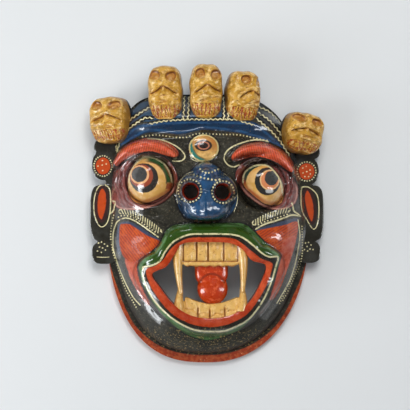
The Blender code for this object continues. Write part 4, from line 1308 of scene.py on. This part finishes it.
class MaskPaints(bpy.types.PropertyGroup):
    ground: colour("Ground", "Black ground of the face and the ears", 38, 36, 28)
    hair: colour("Hair", "Blue of the hair", 52, 76, 98)
    navy: colour("Forehead band", "Dark blue over the forehead", 22, 50, 78)
    brow: colour("Brows", "Coral of the brows", 218, 86, 50)
    lid: colour("Lids", "Maroon of the eyelids", 110, 56, 52)
    eye: colour("Eyes", "Ochre of the eyeballs", 236, 190, 122)
    nose: colour("Nose", "Blue of the snout", 26, 66, 102)
    cheek: colour("Cheeks", "Orange of the cheeks and the ears", 192, 70, 16)
    green: colour("Lips", "Green round the mouth", 42, 74, 10)
    lip: colour("Inner lips", "Orange red inside the lips", 182, 56, 8)
    rim: colour("Rim", "Red of the rim round the jaw", 148, 50, 20)
    cream: colour("Lines", "Cream of the lines and dots", 228, 218, 168)
    bone: colour("Skulls", "Ochre of the skulls", 212, 162, 68)
    tooth: colour("Teeth", "Cream of the teeth and fangs", 218, 174, 98)
    wood: colour("Wood", "Stained wood of the hollow back", 96, 66, 42)


class MaskStage(bpy.types.PropertyGroup):
    camera_height: length("Camera height", "Height of the camera over the floor", 1.6)
    lens: FloatProperty(name="Lens", description="Focal length in millimetres", default=145.9, min=20.0)
    floor: colour("Floor", "Pale floor", 222, 225, 227)
    lamps: FloatProperty(name="Lamps", description="Strength of the studio lamps", default=1.0, min=0.0)


class MASK_OT_face(bpy.types.Operator):
    """Carve and paint the face with its hollow back, mouth and nostrils"""

    bl_idname = "mask_parts.face"
    bl_label = "Carve the face"

    def execute(self, context):
        sizes = context.scene.mask_sizes
        face = carve_face(sizes)
        paint_face(face, context.scene.mask_paints)
        return {"FINISHED"}


def carve_face(sizes):
    bpy.ops.object.select_all(action="DESELECT")
    bpy.ops.mesh.primitive_grid_add(x_subdivisions=sizes.columns, y_subdivisions=sizes.rows, size=2)
    face = begin("face")
    bpy.ops.mesh.primitive_grid_add(x_subdivisions=100, y_subdivisions=124, size=2)
    hollow = begin("hollow")
    for sheet, inner in ((face, False), (hollow, True)):
        flat = points_of(sheet)
        u = flat[:, 0] * np.sqrt(1 - flat[:, 1] ** 2 / 2)
        v = flat[:, 1] * np.sqrt(1 - flat[:, 0] ** 2 / 2)
        out = np.hypot(u, v)
        pull = 1 + (0.28 if inner else 0.16) * (1 - out ** 2)
        angle = np.arctan2(v, u)
        out = out * pull
        far = np.interp(angle, REACH_ANGLES, REACH_VALUES)
        if inner:
            far = far - sizes.rim_width / MM
        x = out * far * np.cos(angle)
        y = MIDDLE_Y + out * far * np.sin(angle)
        if inner:
            z = back(x, y, out, sizes.wall / MM)
        else:
            z = eased_front(x, y, 0.6) + unevenness(x, y) * np.clip((0.97 - out) * 20, 0, 1)
        settle(sheet, np.stack([x, y, z], axis=1))
    in_edit_mode(hollow, bpy.ops.mesh.flip_normals)

    form = bmesh.new()
    form.from_mesh(face.data)
    grown = bmesh.ops.extrude_edge_only(form, edges=[edge for edge in form.edges if edge.is_boundary])
    for item in grown["geom"]:
        if isinstance(item, bmesh.types.BMVert):
            item.co.z = 0
    form.from_mesh(hollow.data)
    bmesh.ops.bridge_loops(form, edges=[edge for edge in form.edges if edge.is_boundary])
    bmesh.ops.recalc_face_normals(form, faces=form.faces)
    form.to_mesh(face.data)
    form.free()
    bpy.data.objects.remove(hollow)

    # The open mouth and the nostrils go right through
    loop = smooth_line(MOUTH, 6, True)[::-1]
    bpy.ops.mesh.primitive_circle_add(vertices=len(loop), radius=1, fill_type="NGON")
    mouth = begin("mouth hole")
    settle(mouth, np.column_stack([loop, np.full(len(loop), 4.0)]))
    apply_step(mouth, "SOLIDIFY", thickness=0.11, offset=1)
    cut_out(face, mouth)
    narrow = sizes.nostril / 2 / MM
    wide = sizes.nostril_mouth / 2 / MM
    for (x, y), (mouth_x, mouth_y) in NOSTRIL_HOLES:
        bpy.ops.mesh.primitive_cylinder_add(vertices=64, radius=narrow, depth=91)
        bore = begin("nostril hole")
        settle(bore, points_of(bore) + (x, y, 73))
        cut_out(face, bore)
        bpy.ops.mesh.primitive_cylinder_add(vertices=64, radius=1, depth=2)
        flare = begin("nostril mouth")
        in_edit_mode(flare, lambda: bpy.ops.mesh.subdivide(number_cuts=1))
        flare_points = points_of(flare)
        up = flare_points[:, 2]
        width = narrow + (wide - narrow) * (1 + 1.15 * up)
        settle(flare, np.stack([
            mouth_x + (mouth_x - x) * up + flare_points[:, 0] * width,
            mouth_y + (mouth_y - y) * up + flare_points[:, 1] * width,
            91 + 13 * up,
        ], axis=1))
        cut_out(face, flare)
    return face


def paint_face(face, paints):
    p = drawn(face)
    px, py = traced(p)
    surface = eased_front(p[:, 0], p[:, 1], 0.6) + unevenness(p[:, 0], p[:, 1])
    depth = surface - p[:, 2]
    out = share_out(p[:, 0], p[:, 1])
    edge = (1 - out) * np.interp(np.arctan2(p[:, 1] - MIDDLE_Y, p[:, 0]), REACH_ANGLES, REACH_VALUES)
    rim_wide = np.clip((py - 258) * 0.1, 0, 3.6) + 3.4 * np.clip((py - 325) / 28, 0, 1)
    store(face, "rim", edge - np.where(py < 258, -1.5, rim_wide))
    store(face, "trace", np.stack([px, py, depth], axis=1))
    # How far each point lies below the ground round it, for the painted shade and dirt in the hollows
    ring = eased_front(p[:, 0], p[:, 1], 2.6)
    store(face, "cavity", np.where(depth < 1.5, ring - surface, 0.0))
    for name, loops in (
        ("hair", (HAIR,)),
        ("navy", (NAVY_BAND,)),
        ("brow", BROWS),
        ("lid", LIDS),
        ("eyeball", EYEBALLS),
        ("nose", (NOSE,)),
        ("cheek", CHEEKS),
        ("navy_cheek", NAVY_CHEEK),
        ("pink_sheen", PINK_SHEEN_BAND),
        ("green_lip", (GREEN_LIP,)),
        ("cream_lip", (CREAM_LIP,)),
        ("red_lip", (RED_LIP,)),
    ):
        store(face, name, field_of(px, py, loops))
    trace_lines(face, px, py)

    # The varnish has gone dull round the jaw but for a long streak on either side
    streak = np.full(px.shape, 99.0)
    for line in VARNISH_STREAKS:
        near = (py > 235) & (py < 335)
        _, across = follow(px[near], py[near], smooth_line(line, 4, False))
        streak[near] = np.minimum(streak[near], np.abs(across))
    bottom = np.clip((py - 285) / 12, 0, 1)
    outside_lip = (1 - bottom) * field_of(px, py, (GREEN_LIP,)) + bottom * field_of(px, py, (CREAM_LIP,))
    low = np.clip((py - 243) / 12, 0, 1) * np.clip(outside_lip / 3, 0, 1)
    low = low * np.clip((streak - 3.5) / 2.5, 0, 1)
    crown = np.clip((118 - py) / 8, 0, 1) * np.clip((13 - edge) / 4, 0, 1)
    on_cheek = 0.85 * np.clip(0.5 - field_of(px, py, CHEEKS), 0, 1) * np.clip((170 - px) / 6, 0, 1)
    store(face, "dull", np.maximum(np.maximum(crown, low), on_cheek))

    hand_over(face, (
        paint_front(paints),
        paint_wall("mouth wall", rgb(190, 66, 30), rgb(58, 38, 28), 16.0),
        paint_wall("nostril wall", rgb(158, 46, 22), rgb(30, 12, 8), 12.0),
        bare_wood(paints),
    ))
    mesh = face.data
    middle = np.empty(len(mesh.polygons) * 3)
    mesh.polygons.foreach_get("center", middle)
    middle = middle.reshape(-1, 3) / MM - SHIFT
    normal = np.empty(len(mesh.polygons) * 3)
    mesh.polygons.foreach_get("normal", normal)
    up = normal.reshape(-1, 3)[:, 2]
    x = middle[:, 0]
    y = middle[:, 1]
    top = eased_front(x, y, 0.6) + unevenness(x, y)
    slot = np.full(len(x), 3)
    at_mouth = (np.abs(distance_outside(x, y, smooth_line(MOUTH, 6, True))) < 0.12) & (np.abs(up) < 0.2)
    slot[at_mouth] = 1
    slot[(slot == 3) & (np.abs(top - middle[:, 2]) < 1.6) & (up > -0.1)] = 0
    for _, (mouth_x, mouth_y) in NOSTRIL_HOLES:
        slot[(np.hypot(x - mouth_x, y - mouth_y) < 9.8) & (np.abs(up) < 0.3)] = 2
    slot[(share_out(x, y) > 0.985) & (np.abs(up) < 0.5)] = 0
    mesh.polygons.foreach_set("material_index", slot.astype(np.int32))


def rounded_block(half, power, cuts):
    """A block with rounded sides, its faces cut into even squares."""
    bpy.ops.object.select_all(action="DESELECT")
    bpy.ops.mesh.primitive_cube_add(size=2)
    block = begin("block")
    in_edit_mode(block, lambda: bpy.ops.mesh.subdivide(number_cuts=cuts))
    corner = np.tan(points_of(block) * pi / 4 * 0.98)
    size = (np.abs(corner) ** power).sum(axis=1) ** (1 / power)
    return block, corner / size[:, None] * np.array(half)


class MASK_OT_skulls(bpy.types.Operator):
    """Carve and paint the five skulls of the crown"""

    bl_idname = "mask_parts.skulls"
    bl_label = "Carve the skulls"

    def execute(self, context):
        paint = paint_bone(context.scene.mask_paints)
        thick = context.scene.mask_sizes.skull_thickness / MM
        for number, spec in enumerate(SKULLS):
            hand_over(carve_skull(f"skull_{number + 1}", spec, thick, number), (paint,), 60)
        return {"FINISHED"}


def carve_skull(name, spec, thick, number):
    middle_x, middle_y, top, wide, tall, turn, lean, aside = spec
    half = np.array((wide, tall, thick)) / 2
    skull, p = rounded_block(half, 3.3, 60)
    skull.name = name
    a = p[:, 0] / half[0]
    b = p[:, 1] / half[1]
    p[:, 0] *= 1 - 0.07 * np.clip(-b, 0, 1)
    facing = np.clip(p[:, 2] / half[2] * 1.6, 0, 1)
    inward = np.clip((0.97 - np.abs(a)) * 8, 0, 1)
    a = a - aside
    cut_shade_and_wash = np.zeros(len(p))

    # Round gouged sockets, a little out of true, with a shallow boss in each
    for side in (-1, 1):
        from_x = (a - side * 0.47) / 0.32
        from_y = (b - 0.6 + 0.03 * side) / 0.2
        round_by = np.arctan2(from_y, from_x)
        socket = np.hypot(from_x, from_y) * (
            1 + 0.03 * np.sin(3 * round_by + number + side) + 0.02 * np.sin(5 * round_by)
        )
        p[:, 2] -= facing * 4.8 * np.clip(1 - socket ** 2, 0, None) ** 0.5
        p[:, 2] += facing * 1.6 * np.clip(
            1 - ((from_x + 0.1 * side) ** 2 + (from_y + 0.25) ** 2) / 0.3, 0, None
        )
        p[:, 2] += facing * 0.5 * np.exp(-(((socket - 1.15) / 0.14) ** 2))
        upper = np.clip(0.65 + 0.6 * from_y, 0.2, 1)
        # Brown wash with painted shade round the inside of each socket
        cut_shade_and_wash = np.maximum(cut_shade_and_wash, np.exp(-(((socket - 0.8) / 0.2) ** 2)) * upper)
        cut_shade_and_wash = np.maximum(cut_shade_and_wash, 0.42 * np.clip((1 - socket) * 3, 0, 1))

    # Cheek bones like a roof, with the nose hole cut in deep under them
    sag = 0.25 - 0.34 * np.abs(a) ** 1.15 - b + 0.02 * np.sin(a * 6 + number)
    arms = inward * np.clip((0.88 - np.abs(a)) * 5, 0, 1)
    cut = np.clip(sag / 0.03, 0, 1) * np.clip((0.27 - sag) / 0.24, 0, 1) ** 1.3 * arms
    p[:, 2] -= facing * 4.0 * cut * np.clip(np.abs(a) / 0.12 - 0.2, 0.2, 1)
    p[:, 2] += facing * 1.1 * np.exp(-(((sag + 0.08) / 0.06) ** 2)) * arms
    # Brown wash with painted shade right under the cheek roof
    cut_shade_and_wash = np.maximum(cut_shade_and_wash, 0.9 * np.exp(-(((sag - 0.03) / 0.026) ** 2)) * arms)
    cut_shade_and_wash = np.maximum(cut_shade_and_wash, 0.42 * cut * np.exp(-((a / 0.3) ** 2)))

    # Folds under the cheeks, and the row of teeth set back below them
    for at, deep, bend in ((-0.14, 0.9, 0.05), (-0.25, 1.3, -0.03), (-0.37, 1.5, 0.04)):
        line = b - at - bend * np.sin(a * 4 + number) + 0.05 * a ** 2
        fold = np.exp(-((line / 0.03) ** 2)) * np.clip(1.15 - np.abs(a), 0, 1) * (
            0.7 + 0.3 * np.sin(a * 7 + 2 * number)
        )
        p[:, 2] -= facing * deep * fold
        p[:, 2] += facing * 0.4 * deep * np.exp(-(((line - 0.06) / 0.035) ** 2))
        # Brown wash with painted shade along each fold
        cut_shade_and_wash = np.maximum(cut_shade_and_wash, 0.55 * fold)
    zone = np.clip((-0.42 - b) / 0.05, 0, 1) * np.clip((b + 0.93) / 0.1, 0, 1)
    p[:, 2] -= facing * 0.9 * zone
    across = a * half[0] / 2.5 + 0.35 * np.sin(b * 11 + number)
    tooth = np.abs((across % 1.0) - 0.5)
    p[:, 2] -= facing * zone * 1.5 * np.clip(1 - tooth / 0.22, 0, 1) * (0.6 + 0.4 * np.sin(b * 9 + a * 7))
    # Flats and nicks left by the knife
    p[:, 2] += facing * 0.45 * np.sin(a * 4.3 + number) * np.sin(b * 5.1 + 1.3 * number)
    p[:, 0] += 0.35 * np.sin(p[:, 1] * 0.35 + number) * np.abs(a)
    p[:, 1] += 0.3 * np.sin(p[:, 0] * 0.5 + 2 * number) * np.abs(b)

    store(skull, "skull", np.stack([a * half[0], b * half[1], facing], axis=1))
    store(skull, "cut_shade_and_wash", cut_shade_and_wash * facing)
    store(skull, "teeth_zone", zone * facing)
    store(skull, "behind", np.clip((-0.25 - p[:, 2] / half[2]) * 3 + 0.5, 0, 1))

    turn_by = Matrix.Rotation(radians(turn), 3, "Y") @ Matrix.Rotation(radians(lean), 3, "Z")
    p = p @ np.array(turn_by).T + (middle_x, middle_y, top - half[2])
    settle(skull, p)
    return skull


class MASK_OT_ears(bpy.types.Operator):
    """Cut and paint the two ear boards"""

    bl_idname = "mask_parts.ears"
    bl_label = "Cut the ears"

    def execute(self, context):
        paint = paint_ear(context.scene.mask_paints)
        for side, lobes, inner_x in (("left", LEFT_EAR, -84), ("right", RIGHT_EAR, 84)):
            hand_over(cut_ear(f"ear_{side}", lobes, inner_x, context.scene.mask_sizes), (paint,), 50)
        return {"FINISHED"}


def cut_ear(name, lobes, inner_x, sizes):
    thick = sizes.ear_thickness / MM
    lift_by = sizes.ear_lift / MM
    pieces = []
    for middle_x, middle_y, half_x, half_y, power in lobes:
        bpy.ops.object.select_all(action="DESELECT")
        bpy.ops.mesh.primitive_cylinder_add(vertices=96, radius=1, depth=thick)
        lobe = begin("lobe")
        p = points_of(lobe)
        p[:, :2] *= ((np.abs(p[:, :2]) ** power).sum(axis=1) ** (-1 / power))[:, None]
        p[:, 0] = middle_x + p[:, 0] * half_x
        p[:, 1] = middle_y + p[:, 1] * half_y
        p[:, 2] += lift_by + thick / 2
        settle(lobe, p)
        pieces.append(lobe)
    top = lobes[0][1]
    bottom = lobes[-1][1]
    outer_x = lobes[0][0]
    bpy.ops.mesh.primitive_cube_add(size=1)
    web = begin("web")
    p = points_of(web)
    p[:, 0] = (outer_x + inner_x) / 2 + p[:, 0] * abs(outer_x - inner_x)
    p[:, 1] = (top + bottom) / 2 + p[:, 1] * (top - bottom)
    p[:, 2] = p[:, 2] * (thick - 2) + lift_by + thick / 2
    settle(web, p)
    ear = join(pieces + [web], name)
    one_skin(ear, 0.8)
    p = drawn(ear)
    px, py = traced(p)
    store(ear, "trace", np.stack([px, py, np.zeros(len(px))], axis=1))
    store(ear, "almond", field_of(px, py, EAR_ALMONDS))
    middle_z = lift_by + thick / 2
    store(ear, "cavity", np.where(np.abs(p[:, 2] - middle_z) > thick / 2 - 0.9, 0.0, -0.05))
    store(ear, "front_side", (p[:, 2] > middle_z) * 1.0)
    trace_lines(ear, px, py)
    return ear


class MASK_OT_teeth(bpy.types.Operator):
    """Carve and paint the teeth and the four fangs"""

    bl_idname = "mask_parts.teeth"
    bl_label = "Carve the teeth"

    def execute(self, context):
        thick = context.scene.mask_sizes.tooth_thickness / MM
        pieces = [tooth_row(UPPER_TEETH, -20, -50, 63, thick), tooth_row(LOWER_TEETH, -85, -108, 57, thick)]
        for root, tip, root_half, tip_half, height in (
            ((-27.6, -28), (-24.6, -76), 6.4, 2.0, 65),
            ((31.6, -28), (32.6, -74), 6.2, 2.0, 65),
            ((-26, -97), (-25, -70), 6.8, 2.2, 61),
            ((31.4, -92), (32, -70), 5.8, 2.2, 61),
        ):
            pieces.append(fang(root, tip, root_half, tip_half, height, thick))
        teeth = join(pieces, "teeth")
        one_skin(teeth, 0.55)
        p = drawn(teeth)
        gap = np.zeros(len(p))
        upper = p[:, 1] > -60
        for x in UPPER_TEETH:
            gap = np.maximum(gap, np.exp(-(((p[:, 0] - x) / 0.75) ** 2)) * (p[:, 1] > -45.5) * upper)
        bent = p[:, 1] - 9.5 * ((p[:, 0] - 4) / 28) ** 2
        for x in LOWER_TEETH[1:-1]:
            gap = np.maximum(
                gap,
                0.9 * np.exp(-(((p[:, 0] - x) / 0.75) ** 2)) * np.clip((-89 - bent) / 3, 0, 1) * ~upper
            )
        inside = (p[:, 0] > -23) * (p[:, 0] < 28.5)
        gap = np.maximum(gap, 0.85 * np.exp(-(((p[:, 1] + 45.4) / 0.6) ** 2)) * inside)
        gap = np.maximum(gap, 0.6 * np.exp(-(((p[:, 1] + 49.8) / 0.8) ** 2)) * inside)
        store(teeth, "gap", gap)
        # How far back each point lies, for the painted shade deep in the mouth
        store(teeth, "far", np.clip((52 - p[:, 2]) / 6, 0, 1))
        hand_over(teeth, (paint_teeth(context.scene.mask_paints),), 60)
        return {"FINISHED"}


def tooth_row(edges, top, bottom, height, thick):
    """A row of broad teeth cut from one bar, with a groove between each two."""
    half = ((edges[-1] - edges[0]) / 2 + 1.5, (top - bottom) / 2, thick / 2)
    row, p = rounded_block(half, 9.0, 60)
    middle_x = (edges[0] + edges[-1]) / 2
    middle_y = (top + bottom) / 2
    facing = np.clip(p[:, 2] / half[2] * 1.5, 0, 1)
    x = p[:, 0] + middle_x
    y = p[:, 1] + middle_y
    upper = top > -60
    for edge in edges[1:-1]:
        groove = np.exp(-(((x - edge) / 0.7) ** 2))
        length_of = (y > -45) if upper else np.clip((-88 - y) / 3, 0, 1)
        p[:, 2] -= facing * 2.8 * groove * length_of
    p[:, 2] += facing * 0.5 * np.sin(x * 0.9 + 1) * np.sin(y * 0.35)
    if upper:
        p[:, 2] -= facing * 1.8 * np.exp(-(((y + 45.2) / 0.8) ** 2))
        p[:, 1] += np.clip(-p[:, 1], 0, None) / half[1] * (0.5 * np.sin(x * 0.75) - 0.3)
    else:
        ledge = np.exp(-(((y + 96 + 1.2 * np.sin(x * 0.55)) / 0.8) ** 2))
        p[:, 2] -= facing * 1.5 * ledge
        p[:, 1] += 9.5 * ((x - 4) / 28) ** 2
    settle(row, p + (middle_x, middle_y, height - half[2]))
    return row


def fang(root, tip, root_half, tip_half, height, thick):
    """A long tapering fang from its root inside the lip to its tip."""
    bpy.ops.object.select_all(action="DESELECT")
    bpy.ops.mesh.primitive_cylinder_add(vertices=40, radius=1, depth=2)
    piece = begin("fang")
    in_edit_mode(piece, lambda: bpy.ops.mesh.subdivide(number_cuts=14))
    p = points_of(piece)
    along = (p[:, 2] + 1) / 2
    half = root_half + (tip_half - root_half) * along ** 0.85
    bow = 1.2 * np.sin(pi * along) * np.sign(root[0])
    x = root[0] + (tip[0] - root[0]) * along + p[:, 0] * half + bow
    y = root[1] + (tip[1] - root[1]) * along
    z = height - thick / 2 + p[:, 1] * np.minimum(thick / 2, half * 1.6)
    settle(piece, np.stack([x, y, z], axis=1))
    return piece


class MASK_OT_tongue(bpy.types.Operator):
    """Carve and paint the tongue"""

    bl_idname = "mask_parts.tongue"
    bl_label = "Carve the tongue"

    def execute(self, context):
        root, p = rounded_block((15.5, 14, 8), 3.2, 24)
        settle(root, p + (3.5, -54, 50))
        bpy.ops.mesh.primitive_uv_sphere_add(segments=64, ring_count=40, radius=1)
        tip = begin("tip")
        settle(tip, points_of(tip) * (14.3, 15.2, 9.3) + (4.6, -71, 50.5))
        tongue = join([root, tip], "tongue")
        one_skin(tongue, 0.7)
        p = drawn(tongue)
        crease = np.abs(np.hypot((p[:, 0] - 4) / 13.5, (p[:, 1] + 71) / 15) - 0.92)
        # The crease where the tip meets the root, for its painted shade
        store(tongue, "gap", np.exp(-((crease / 0.07) ** 2)) * (p[:, 1] > -66))
        store(tongue, "far", np.clip((48 - p[:, 2]) / 5, 0, 1))
        hand_over(tongue, (paint_tongue(context.scene.mask_paints),), 60)
        return {"FINISHED"}


class MASK_OT_stage(bpy.types.Operator):
    """Set the pale floor, the soft lamps and the camera over the mask"""

    bl_idname = "mask_parts.stage"
    bl_label = "Set the stage"

    def execute(self, context):
        stage = context.scene.mask_stage
        bpy.ops.object.select_all(action="DESELECT")
        bpy.ops.mesh.primitive_plane_add(size=6)
        floor = begin("floor")
        floor.data.materials.append(floor_finish(stage))

        # Broad lamps give the light, and boxes low on the sides give only their glint
        lamps = (
            ("main", (0.2, 0.95, 1.75), (0.9, 0.9), 22.5, (1.0, 0.99, 0.97), False),
            ("fill", (0.15, 0.1, 2.1), (2.2, 2.2), 13.0, (0.98, 0.99, 1.0), False),
            ("left light", (-1.04, -0.38, 0.69), (0.6, 0.8), 8.5, (0.97, 0.99, 1.0), False),
            ("left box", (-1.09, -0.35, 0.51), (0.34, 0.8), 13.0, (0.93, 0.97, 1.0), True),
            ("low box", (-0.93, -0.73, 0.2), (0.7, 0.22), 6.0, (0.93, 0.97, 1.0), True),
            ("right box", (1.06, -0.2, 0.72), (0.26, 0.85), 8.5, (0.94, 0.97, 1.0), True),
            ("crown box", (-0.3, 1.2, 0.9), (0.7, 0.2), 4.5, (0.97, 0.98, 1.0), True),
        )
        for name, place, size, power, tint, glint in lamps:
            bpy.ops.object.light_add(type="AREA", location=place)
            lamp = context.object
            lamp.name = name
            lamp.data.shape = "RECTANGLE"
            lamp.data.size = size[0]
            lamp.data.size_y = size[1]
            lamp.data.energy = power * stage.lamps
            lamp.data.color = tint
            lamp.visible_glossy = glint
            lamp.visible_diffuse = not glint
            lamp.rotation_euler = (-lamp.location).to_track_quat("-Z", "Y").to_euler()

        # The room is lighter at its walls than overhead
        world = bpy.data.worlds.new("studio")
        context.scene.world = world
        world.use_nodes = True
        nodes = world.node_tree.nodes
        links = world.node_tree.links
        direction = nodes.new("ShaderNodeTexCoord")
        split = nodes.new("ShaderNodeSeparateXYZ")
        links.new(direction.outputs["Generated"], split.inputs[0])
        fade = nodes.new("ShaderNodeMapRange")
        fade.inputs["From Min"].default_value = 0.05
        fade.inputs["From Max"].default_value = 0.85
        fade.inputs["To Min"].default_value = 0.2
        fade.inputs["To Max"].default_value = 0.1
        links.new(split.outputs[2], fade.inputs["Value"])
        nodes["Background"].inputs["Color"].default_value = (0.93, 0.96, 1.0, 1)
        links.new(fade.outputs[0], nodes["Background"].inputs["Strength"])

        place = (
            (-TRACE_OFFSET[0] * TRACE_SQUARE + SHIFT[0]) * MM,
            (TRACE_OFFSET[1] * TRACE_SQUARE + SHIFT[1]) * MM
        )
        bpy.ops.object.camera_add(location=(*place, stage.camera_height), rotation=(0, 0, 0))
        camera = context.object
        camera.data.lens = stage.lens
        camera.data.sensor_width = 36
        camera.data.clip_end = 20
        context.scene.camera = camera
        context.scene.view_settings.view_transform = "Standard"
        return {"FINISHED"}


def floor_finish(stage):
    c = Coats("pale floor", linear(stage.floor), 0.85, 0.0)
    c.shade(0.006, 3.0, 3.0)
    c.raise_by(c.noise(700, 3.0), 0.3)
    return c.finish(0.0001, 0.2, 20, 0.05)


class MASK_PT_panel(bpy.types.Panel):
    """Sizes, colours and the steps of the work"""

    bl_label = "Guardian mask"
    bl_idname = "MASK_PT_panel"
    bl_space_type = "VIEW_3D"
    bl_region_type = "UI"
    bl_category = "Mask"

    def draw(self, context):
        for step in STEPS:
            self.layout.operator(step.bl_idname)
        for group in (context.scene.mask_sizes, context.scene.mask_paints, context.scene.mask_stage):
            box = self.layout.box()
            for key in group.__annotations__:
                box.prop(group, key)


STEPS = (MASK_OT_face, MASK_OT_skulls, MASK_OT_ears, MASK_OT_teeth, MASK_OT_tongue, MASK_OT_stage)
GROUPS = (MaskSizes, MaskPaints, MaskStage)


def register():
    for kind in GROUPS + STEPS + (MASK_PT_panel,):
        bpy.utils.register_class(kind)
    bpy.types.Scene.mask_sizes = PointerProperty(type=MaskSizes)
    bpy.types.Scene.mask_paints = PointerProperty(type=MaskPaints)
    bpy.types.Scene.mask_stage = PointerProperty(type=MaskStage)


def unregister():
    del bpy.types.Scene.mask_stage
    del bpy.types.Scene.mask_paints
    del bpy.types.Scene.mask_sizes
    for kind in reversed(GROUPS + STEPS + (MASK_PT_panel,)):
        bpy.utils.unregister_class(kind)


def main():
    register()
    bpy.ops.object.select_all(action="DESELECT")
    bpy.ops.mask_parts.face()
    bpy.ops.mask_parts.skulls()
    bpy.ops.mask_parts.ears()
    bpy.ops.mask_parts.teeth()
    bpy.ops.mask_parts.tongue()
    bpy.ops.mask_parts.stage()


if __name__ == "__main__":
    main()
